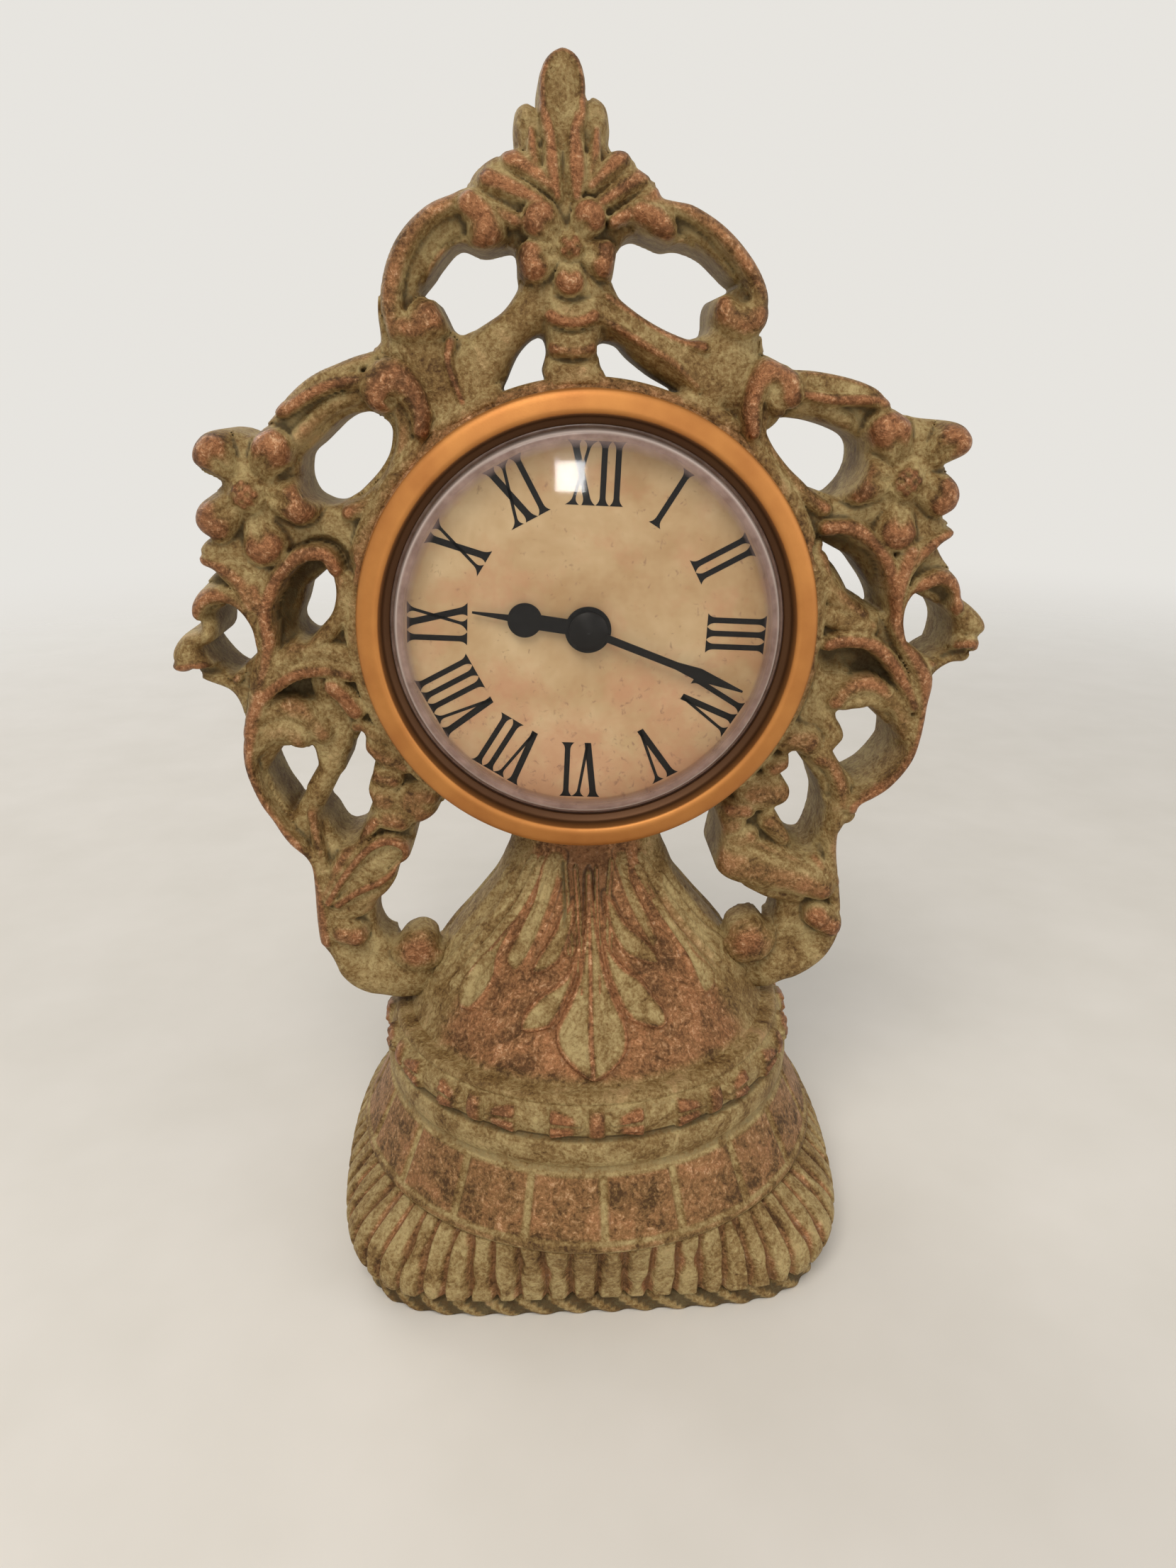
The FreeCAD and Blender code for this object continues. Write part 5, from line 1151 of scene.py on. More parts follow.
@dataclass
class Openwork:
    """A carved part of the frame: its outline, its openings and the marks on its front.

    Each thin place has its middle, its reach and how much of the back is missing there, in mm.
    """

    name: str
    outline: Points
    holes: Sequence[Points]
    marks: Sequence[Ridge | Channel | Flower | Leaf]
    ground: float = 7.2
    fullness: float = 1.35
    wall: float = 3.2
    pitch: float = 0.42
    depth_pitch: float = 1.0
    grid_front: float = -16.0
    grid_spare: float = 2.5
    bezel_reach: float = 45.6
    behind_bezel: float = 10.9
    edge: float = 3.4
    inner: float = 43.2
    back_edge: float = 2.0
    stretch: float = 1.092
    copies: int = 9
    blur: float = 1.5
    lowest: float = 2.0
    thin: Sequence[tuple[float, float, float, float]] = ()

    def _relief(self) -> Relief:
        """The front's height map, kept behind the bezel near the ring."""
        x, z = self._axes()
        across, along = np.meshgrid(x, z, indexing="ij")
        relief = Relief.flat(across, along, self.ground)
        relief.fullness = self.fullness
        for mark in self.marks:
            relief.carve(mark)
        relief.weather(self.blur / self.pitch, 0.5, self.lowest)
        reach = np.hypot(across, along)
        beside = np.clip(reach - self.bezel_reach, 0, None)
        relief.height = np.minimum(relief.height, self.behind_bezel + 2.0 * beside)
        return relief

    def _axes(self) -> tuple[np.ndarray, np.ndarray]:
        """The grid's places across and along, 2 mm wider than the outline."""
        corners, spare = np.array(self.outline), 2.0
        low, high = corners.min(0) - spare, corners.max(0) + spare
        return tuple(np.arange(low[i], high[i], self.pitch) for i in (0, 1))

    def _side(self, across: np.ndarray, along: np.ndarray) -> np.ndarray:
        """Distance outside the outline, or inside an opening or the bore of the ring.

        An opening is as wide as its near edge, so its outline is joined with copies of itself drawn
        out from the point that faces the eye, up to the share that the frame's depth asks for. The
        copies leave a wall inside the outline.
        """
        side = outline_distance(across, along, smooth_path(np.array(self.outline, float), 1.0, True))
        rim = side + self.wall
        for hole in self.holes:
            shape = smooth_path(np.array(hole, float), 1.0, closed=True)
            void = outline_distance(across, along, shape)
            for scale in np.linspace(1.0, self.stretch, self.copies + 1)[1:]:
                copy = outline_distance(across, along, EYE + (shape - EYE) * scale)
                void = np.minimum(void, np.maximum(copy, rim))
            side = np.maximum(side, -void)
        return np.maximum(side, self.inner - np.hypot(across, along))

    def shell(self) -> Shell:
        """The zero surface of the largest of three fields: before the relief, outside, behind.

        The first is (-h - y) over the slope's length. The edges are rounded by the smooth maximum.
        """
        x, z = self._axes()
        relief = self._relief()
        side = self._side(relief.across, relief.along)
        y = np.arange(self.grid_front, BACK + self.grid_spare, self.depth_pitch)
        gx, gz = np.gradient(relief.height, self.pitch)
        slope = np.sqrt(1 + np.minimum(gx ** 2 + gz ** 2, 4.0))
        ahead = (-relief.height[:, None, :] - y[None, :, None]) / slope[:, None, :]
        body = smooth_max(ahead, np.broadcast_to(side[:, None, :], ahead.shape), self.edge)
        back = np.full(side.shape, BACK)
        for place_x, place_z, reach, cut in self.thin:
            away = np.hypot(relief.across - place_x, relief.along - place_z) / reach
            back = np.minimum(back, BACK - cut * (1 - smooth_step(away, 0.8, 1.2)))
        behind = y[None, :, None] - back[:, None, :]
        body = smooth_max(body, behind, self.back_edge)
        made = surface_net(body, np.array([x[0], y[0], z[0]]),
                           np.array([self.pitch, self.depth_pitch, self.pitch]))
        spots = made.points
        rows, columns = (spots[:, 0] - x[0]) / self.pitch, (spots[:, 2] - z[0]) / self.pitch
        sunk = spots[:, 1] + sampled(relief.height, rows, columns)
        ahead_share = np.clip(1 - (sunk - 0.3) / 3.0, 0, 1)
        edge_share = smooth_step(sampled(side, rows, columns), -1.4, -0.2) * smooth_step(3.0 - sunk, 0, 2.0)
        rub = sampled(relief.rub, rows, columns) * ahead_share + 0.25 * edge_share
        grime = sampled(relief.grime, rows, columns) * ahead_share + 0.06 * (1 - ahead_share)
        made.marks = {"rub": np.clip(rub, 0, 1), "grime": np.clip(grime, 0, 1)}
        made.points = spots + np.array([0, 0, DIAL_HEIGHT])
        return made


def ring_line(first: float, last: float, radius: float = 45.6, top: float = 11.2) -> Ridge:
    """The casting's ring where it passes behind a carved part: an arc about the dial, by degrees from +X."""
    angles = np.radians(np.linspace(first, last, 12))
    return Ridge([(radius * math.cos(a), radius * math.sin(a)) for a in angles], 2.3, top, 0.3)


def crown() -> Openwork:
    """The crown: column, shell, finial, flower and the two loops beside them."""
    outline = [
        (-38.3, 53), (-38.5, 58), (-38, 62), (-36, 68), (-33, 72), (-28, 75.8), (-23.5, 77.5), (-21.5, 79),
        (-19, 81.5), (-15, 84), (-12.8, 84.6), (-12.7, 88), (-12, 91), (-10, 92), (-8.7, 91.3), (-8.5, 94),
        (-7, 97.8), (-3.8, 99.8), (-0.8, 98), (0.3, 94), (0.2, 92.6), (1.8, 93), (3.8, 91.6), (4.6, 88),
        (4.6, 85), (8, 83.8), (10, 81), (13, 79.5), (13.8, 77), (17, 76.2), (20, 75.5), (26, 72), (31, 67),
        (33.8, 62), (34.2, 58), (33.5, 54), (34, 50.3), (39.5, 48.4), (40, 44), (32, 36), (0, 41),
        (-32, 36), (-40, 44), (-40, 51.2)]
    holes = [
        [(-29, 60.3), (-27, 62.5), (-25, 65), (-22, 67.5), (-18, 66.3), (-13, 67), (-12.6, 64), (-12.5, 62),
         (-15, 58.5), (-18, 56.5), (-21, 55), (-23.5, 54.3), (-25, 57), (-26.5, 59.5), (-28.5, 60.2)],
        [(5.5, 67), (6, 68.3), (8, 69), (11, 68), (13, 67.3), (16, 67.5), (20, 66), (24, 62.5), (25.5, 61),
         (22, 59.5), (20.8, 57.5), (20.3, 53.5), (16, 54.5), (11, 57), (7, 60), (5.3, 62.5), (5.2, 65)],
        [(-8.3, 45.6), (-15, 44.3), (-14.5, 46.5), (-12.5, 50.5), (-10, 53), (-8.2, 53.3), (-7.5, 51),
         (-8.3, 48)],
        [(2.2, 52.3), (3, 49), (4.5, 46), (8, 45), (15.5, 44.2), (11, 47), (7, 50), (5, 52)],
    ]
    marks = [
        ring_line(48, 133),
        Channel([(-32.5, 57), (-32.3, 62), (-30.3, 67), (-26.5, 71.2), (-22, 73.3)], 3.4, 7.6, 0.1),
        Ridge([(-34.5, 55), (-35.5, 60), (-34.6, 65), (-32, 70), (-28.3, 74), (-23.5, 76.3), (-20, 76.3)],
              1.6, 10.5, 0.4),
        Ridge([(-29, 61.5), (-28.2, 64.5), (-25.8, 67.5), (-22.5, 69.3), (-20, 70)], 0.9, 9.0, 0.3),
        Ridge([(-20.5, 75.6), (-18.2, 73.6), (-17.6, 70.8), (-18.6, 68.6)], (1.8, 2.4, 2.6, 2.0), 12.0, 0.9),
        Ridge([(-34.5, 56), (-31.5, 55.2), (-28.3, 57.3)], (1.8, 3.0), (10.5, 12), 0.75),
        Ridge([(-31, 52), (-28, 47), (-25, 42)], 4.5, 9.5, 0.2),
        Ridge([(-25, 53), (-25.5, 49), (-23, 42)], 0.7, 10.3, 0.95),
        Ridge([(-7, 61), (-12, 57), (-17, 52.5), (-21, 47), (-22, 43)], 3.5, 9.5, 0.25),
        Ridge([(3, 60), (8, 56.5), (13, 53), (19, 49), (24, 45)], 3.4, 9.5, 0.25),
        Ridge([(4, 60.5), (10, 57), (17, 53.5), (22, 52)], 0.9, 10.2, 0.6),
        Ridge([(3, 57), (9, 53.5), (16, 49.5), (21, 45)], 0.9, 10.2, 0.5),
        Ridge([(-2.9, 44), (-2.5, 49), (-2.3, 56), (-2.4, 62)], (5.2, 3.9, 3.6), 11.0, 0.3),
        Ridge([(-8.0, 46.8), (-2.8, 46.2), (2.8, 46.8)], 1.3, 11.0, 0.3),
        Channel([(-6.8, 50.2), (-2.6, 49.6), (1.8, 50.2)], 0.6, 9.3, 0.9),
        Channel([(-6.8, 55.8), (-2.5, 55.0), (1.8, 55.8)], 0.6, 9.3, 0.9),
        Channel([(-6.6, 60.6), (-2.4, 60.0), (1.8, 60.6)], 0.6, 9.6, 0.9),
        Ridge([(-6.4, 57.2), (-4.6, 56.4), (-2.5, 56.1), (-0.4, 56.4), (1.4, 57.2)], 0.9, 12.0, 0.95),
        Ridge([(-6.4, 51.8), (-2.5, 51.3), (1.4, 51.8)], 1.0, 11.4, 0.45),
        Ridge([(-4, 75), (-10, 77.5), (-16, 79.5)], 3.6, 10.0, 0.2),
        Ridge([(-2, 75), (4, 77.5), (9, 80)], 3.4, 10.0, 0.2),
        Ridge([(-6.0, 78), (-9.0, 80.4), (-13, 82.6)], (0.9, 1.7), (11.6, 11.0), 0.8),
        Ridge([(-8.0, 75.8), (-12.0, 77.6), (-17.0, 79.4)], (0.9, 1.8), (11.8, 11.1), 0.9),
        Ridge([(-11.5, 72.6), (-15.0, 73.8), (-19.6, 75.6)], (0.9, 1.6), (11.2, 10.8), 0.6),
        Ridge([(1.0, 78.2), (3.8, 80.6), (6.4, 82.8)], (0.9, 1.6), (11.6, 11.0), 0.8),
        Ridge([(2.8, 75.6), (6.4, 77.8), (10.0, 80.0)], (0.9, 1.6), (11.8, 11.1), 0.85),
        Ridge([(5.0, 72.6), (8.6, 74.6), (12.4, 76.8)], (0.9, 1.5), (11.6, 10.9), 0.7),
        Ridge([(-8.5, 80), (-9.6, 86), (-9.9, 89.5)], 2.6, 8.6, 0.2),
        Ridge([(1, 80), (2, 86), (2.2, 90)], 2.3, 8.6, 0.2),
        Ridge([(-3.2, 74), (-3.6, 80), (-3.9, 90), (-3.9, 96)], (3.0, 3.8, 3.8, 3.4), (9.6, 10.2, 9.6, 9.4),
              0.15),
        Ridge([(-6.5, 84), (-7.4, 92), (-7.1, 96), (-5.6, 98.8), (-3.8, 99.3)], (0.6, 0.8), (10.6, 9.9),
              0.5),
        Ridge([(-1.2, 84), (-0.4, 92), (-0.5, 96), (-2, 98.8), (-3.8, 99.3)], (0.6, 0.8), (10.6, 9.9), 0.5),
        Ridge([(-5.0, 76.5), (-5.8, 81), (-6.0, 86), (-7.0, 91)], (0.7, 1.1, 0.8, 0.3),
              (11.4, 12.0, 11.2, 10), 0.95),
        Ridge([(-1.6, 76.5), (-1.6, 81), (-1.9, 86), (-1.2, 90)], (0.8, 1.4, 1.0, 0.4),
              (11.6, 12.3, 11.4, 10), 1.0),
        Ridge([(-8.2, 79), (-9.0, 83), (-9.3, 87)], (0.5, 0.9, 0.5), (10.6, 10.9, 9.8), 0.7),
        Ridge([(0.9, 79), (1.6, 83), (2.0, 87)], (0.5, 0.9, 0.5), (10.6, 10.9, 9.8), 0.6),
        Channel([(15, 73), (20, 71.3), (25, 67.3), (28.7, 62.5), (29.3, 59.5)], 3.2, 7.6, 0.1),
        Ridge([(12, 75.8), (17, 75.6), (22, 73.3), (27, 69), (31, 64), (32.6, 60), (32, 57.3), (29.5, 56)],
              1.5, 10.5, 0.4),
        Ridge([(14, 70.3), (18, 69.4), (22, 66.3), (24.8, 62.5), (26.3, 60.5)], 0.9, 9.0, 0.3),
        Ridge([(9.8, 74.2), (12.4, 73.0), (13.4, 71.0), (12.4, 69.2)], (1.7, 2.3, 2.4, 1.8), 12.0, 0.9),
        Ridge([(32, 57.3), (29, 56.2), (26, 57.5), (24.5, 59.5)], 2.2, 11.5, 0.6),
        Ridge([(27, 55), (27, 50), (29, 46)], 4.5, 9.0, 0.15),
        Flower((-2.7, 68.5, 2.3), [(-8, 72.8, 3.4), (0.5, 73.2, 3.1), (3.2, 66.5, 3.2), (-9.2, 66.3, 3.5),
                                   (-3.0, 63.2, 2.7)], 13.2),
    ]
    return Openwork("crown_scrolls", outline, holes, marks, thin=[(0, 70, 60, 0.2)])


def left_scroll() -> Openwork:
    """The left side: upper arm with its flower, hooked leaves, stem, bean leaf and the arm to the bell."""
    outline = [
        (-36.8, 55), (-38.2, 53.2), (-40, 51.4), (-43, 50.5), (-47, 49), (-50, 47.8), (-53, 46),
        (-56, 43.5), (-57.5, 42), (-59.5, 40), (-61.5, 38), (-63, 36.8), (-64.5, 36.6), (-67, 37.5),
        (-70, 37.7), (-72.5, 36.7), (-74.5, 34), (-75, 32), (-74, 30), (-72, 29), (-70.2, 27.7),
        (-73, 25.5), (-75, 23.5), (-75.7, 21), (-74.8, 18.8), (-73.4, 17.8), (-74.4, 17), (-75.6, 15.6),
        (-75.8, 13.8), (-75, 12.2), (-73.4, 11.2), (-75.5, 9), (-78, 5.5), (-78.5, 3), (-77.8, 1),
        (-77.5, -0.5), (-81, -1.5), (-83.5, -4.5), (-84, -7.5), (-82.5, -9), (-80, -9.3), (-79, -11),
        (-77, -12), (-74, -13.3), (-72.5, -15), (-71.5, -18), (-71.3, -22), (-71.7, -26), (-71.5, -30),
        (-70.5, -34), (-69, -38), (-67, -41.5), (-65.5, -44.5), (-64, -47), (-62.5, -48.5), (-61, -50),
        (-59.8, -53), (-59.7, -58), (-60, -62), (-60.3, -66), (-60, -71), (-58, -74.5), (-57, -77),
        (-56, -80), (-53.5, -83), (-50, -85), (-47, -85.6), (-40, -87), (-34, -84), (-30, -77),
        (-30.5, -74), (-33.2, -73), (-34, -69.8), (-37, -68), (-40.6, -69.2), (-43.2, -72.2),
        (-45.6, -71.4), (-47.0, -68.5), (-47.2, -65), (-46.4, -61.5), (-43.8, -58.8), (-41.8, -55.6),
        (-41, -52.4), (-38.6, -50.4), (-37.4, -47.4), (-36.6, -43.5), (-30, -36), (-36, -12), (-36, 12),
        (-30, 34), (-29, 42), (-33, 50)]
    holes = [
        [(-41.3, 40.8), (-44, 39.5), (-48, 36), (-50.5, 34), (-51.2, 32), (-51.3, 29.5), (-50.3, 27),
         (-48.5, 25.8), (-47, 25.3), (-45, 25.5), (-43, 27), (-40, 30), (-38, 33), (-37.2, 36), (-37.2, 38),
         (-38.3, 39.3), (-40, 40.2)],
        [(-52.3, 10.5), (-50.5, 9), (-50.1, 7), (-50.5, 4), (-51.5, 2), (-52.8, 0.8), (-54.5, 2),
         (-55.2, 4), (-54, 7), (-53, 10)],
        [(-72, 4.5), (-70.5, 4.3), (-68.5, 2.5), (-67, -0.5), (-66.7, -4), (-67, -5.7), (-69, -4.5),
         (-71, -2), (-72.3, 0.5), (-72.3, 3)],
        [(-64, -26), (-61.5, -26), (-59, -26.6), (-57.8, -26), (-57.3, -28), (-57.2, -30.5), (-59, -33),
         (-60, -35), (-60.5, -36.7), (-62.5, -36), (-64, -33.5), (-64.8, -30), (-64.5, -27)],
        [(-47, -22), (-48, -25), (-49.5, -29), (-52, -32), (-53.3, -34), (-52, -36), (-50.5, -39),
         (-49, -40), (-46.5, -39.2), (-45.8, -37.5), (-46.5, -35), (-46, -33), (-45.2, -31), (-45.3, -28),
         (-46.3, -26), (-46.3, -23.5)],
    ]
    marks = [
        ring_line(120, 226),
        Channel([(-58, 1), (-57.5, 6), (-55, 10.5), (-52, 12.5)], 4.5, 1.5, 0.7),
        Ridge([(-41, 50.3), (-47, 48.8), (-53, 45.8), (-57, 42)], 1.6, 10.0, 0.25),
        Ridge([(-42, 46.5), (-47, 45.8), (-52, 43.8), (-56.5, 41.2)], 1.1, 10.5, 0.8),
        Ridge([(-43, 43.5), (-48, 41.5), (-53, 37.5), (-55.5, 35)], 1.3, 9.0, 0.25),
        Ridge([(-57.2, 41.4), (-56.8, 41.6)], 1.3, 11.0, 0.8),
        Ridge([(-35.5, 43), (-34.3, 38), (-35.2, 33), (-38, 28), (-42, 24.3), (-46, 22.5)], 1.3, 9.5, 0.5),
        Ridge([(-30.6, 37.5), (-30.6, 41.5), (-32.4, 45.0), (-35.5, 46.4), (-38.0, 45.2), (-38.4, 43.2)],
              (1.6, 2.2, 2.7, 3.0, 3.0, 2.2), 12.6, 0.9),
        Channel([(-36.2, 42.6), (-35.4, 42.0)], 0.8, 10.0, 0.3),
        Ridge([(-64, 10), (-68, 13.5), (-73, 15)], 3.5, 9.5, 0.15),
        Ridge([(-66, 5), (-68.5, 10), (-72, 12.5), (-75.3, 13.3)], (2.2, 1.0), 10.5, 0.7),
        Ridge([(-72, -2), (-77, -3), (-81, -5)], (4.5, 3.0), 9.5, 0.2),
        Ridge([(-66.5, -3), (-66.8, 1), (-69, 5), (-73, 6.7), (-76.5, 5.5), (-78, 3)], 1.5, 10.5, 0.55),
        Ridge([(-66, 0), (-66, -6), (-66.8, -12), (-68.5, -20), (-70, -26)], 1.4, 10.0, 0.5),
        Ridge([(-83, -8.2), (-79, -7.5), (-75, -7.8), (-71.5, -10)], 1.2, 10.0, 0.6),
        Channel([(-79, -9.3), (-75, -9.3)], 0.9, 6.0, 0.8),
        Channel([(-64, -15), (-58, -12.5), (-52, -13)], 3.0, 3.5, 0.9),
        Ridge([(-53, -12), (-50.5, -18), (-50.5, -24), (-54, -30), (-56, -34), (-58, -38)], 3.0, 7.5, 0.2),
        Ridge([(-66, -12), (-62, -7.5), (-56, -3.5), (-51, 1), (-48.5, 5), (-48, 9)], 1.8, 10.5, 0.15),
        Ridge([(-60, -6.5), (-54, -5), (-49, -6), (-46.5, -8)], 1.6, 10.0, 0.2),
        Ridge([(-64, -1), (-63.3, 5), (-60, 11), (-55.5, 14.5), (-51, 14.5), (-49.3, 11.5)], 1.2, 10.8, 0.9),
        Ridge([(-70, -22), (-66, -14), (-60, -9.5), (-54, -8.3), (-48, -9.5)], 1.3, 10.8, 0.6),
        Ridge([(-66, -18), (-62, -17), (-58, -18.5), (-55, -22)], 2.0, 9.5, 0.3),
        Ridge([(-69, -24), (-66, -22), (-62, -21.5), (-60, -23.5)], 2.2, 9.5, 0.3),
        Ridge([(-51.5, -12), (-49.5, -14), (-47.5, -17)], 1.6, 11.0, 0.85),
        Ridge([(-65.3, 8), (-64.2, 2), (-64, -4), (-66, -12), (-68.5, -20), (-71, -28), (-69.5, -36),
               (-66, -43), (-62, -48), (-59.5, -55), (-58.5, -62), (-58, -70)], 1.5, 10.6, 0.8),
        Ridge([(-58, -70), (-56, -76), (-51, -81), (-45, -82), (-40, -80)], 4.5, 9.0, 0.2),
        Ridge([(-54, -58), (-48, -53), (-42, -49)], 3.0, 9.8, 0.1),
        Ridge([(-56.5, -60), (-52, -53), (-47, -47.5), (-42.5, -45.8), (-39.3, -47.5), (-39.5, -51),
               (-44, -54.8), (-50, -57.5), (-54.5, -60.5)], 0.8, 11.3, 0.95),
        Ridge([(-41, -54.5), (-45, -58.5), (-50, -61), (-55, -63.5)], 1.8, 10.0, 0.3),
        Ridge([(-47.5, -62), (-52, -63.5), (-56, -64.5)], 1.3, 9.4, 0.3),
        Ridge([(-51.5, -68.5), (-54.5, -67.5)], 2.2, 11.5, 0.6),
        Ridge([(-45, -41.5), (-50, -47), (-54, -52.5), (-57, -58.5)], 1.2, 10.5, 0.6),
        Ridge([(-58.5, -40), (-58, -46), (-57.5, -52), (-57.5, -57)], 1.0, 9.5, 0.3),
        Ridge([(-64, -47), (-60.5, -49.5), (-58.8, -54), (-58.3, -58)], 1.2, 10.0, 0.5),
        Ridge([(-38.3, -72.6), (-37.6, -72.4)], 4.6, 11.0, 0.95),
        Ridge([(-47, -21), (-43.5, -23)], 1.4, 10.4, 0.4),
        Ridge([(-46.5, -25), (-42, -27.5), (-38.5, -29)], 1.8, 10.6, 0.6),
        Ridge([(-45.5, -31.5), (-41, -32.5)], 1.7, 10.6, 0.6),
        Ridge([(-46, -36.5), (-42.5, -37)], 2.5, 10.8, 0.6),
        Ridge([(-42.5, -41), (-40, -41.5)], 2.3, 10.8, 0.6),
        Ridge([(-37.5, -36.5), (-34, -36)], 2.4, 10.9, 0.6),
        Ridge([(-38, -37.5), (-35, -40.5)], 2.6, 10.9, 0.6),
        Flower((-65, 26, 2.8), [(-71, 34, 4.1), (-59.5, 34, 4.0), (-55.5, 24.5, 4.2), (-71.5, 21.5, 4.4),
                                (-62.5, 16.5, 4.0)], 12.5),
    ]
    return Openwork("left_scrolls", outline, holes, marks, thin=[(-52, -78, 15, 6), (-38, -72.4, 6, 12)])


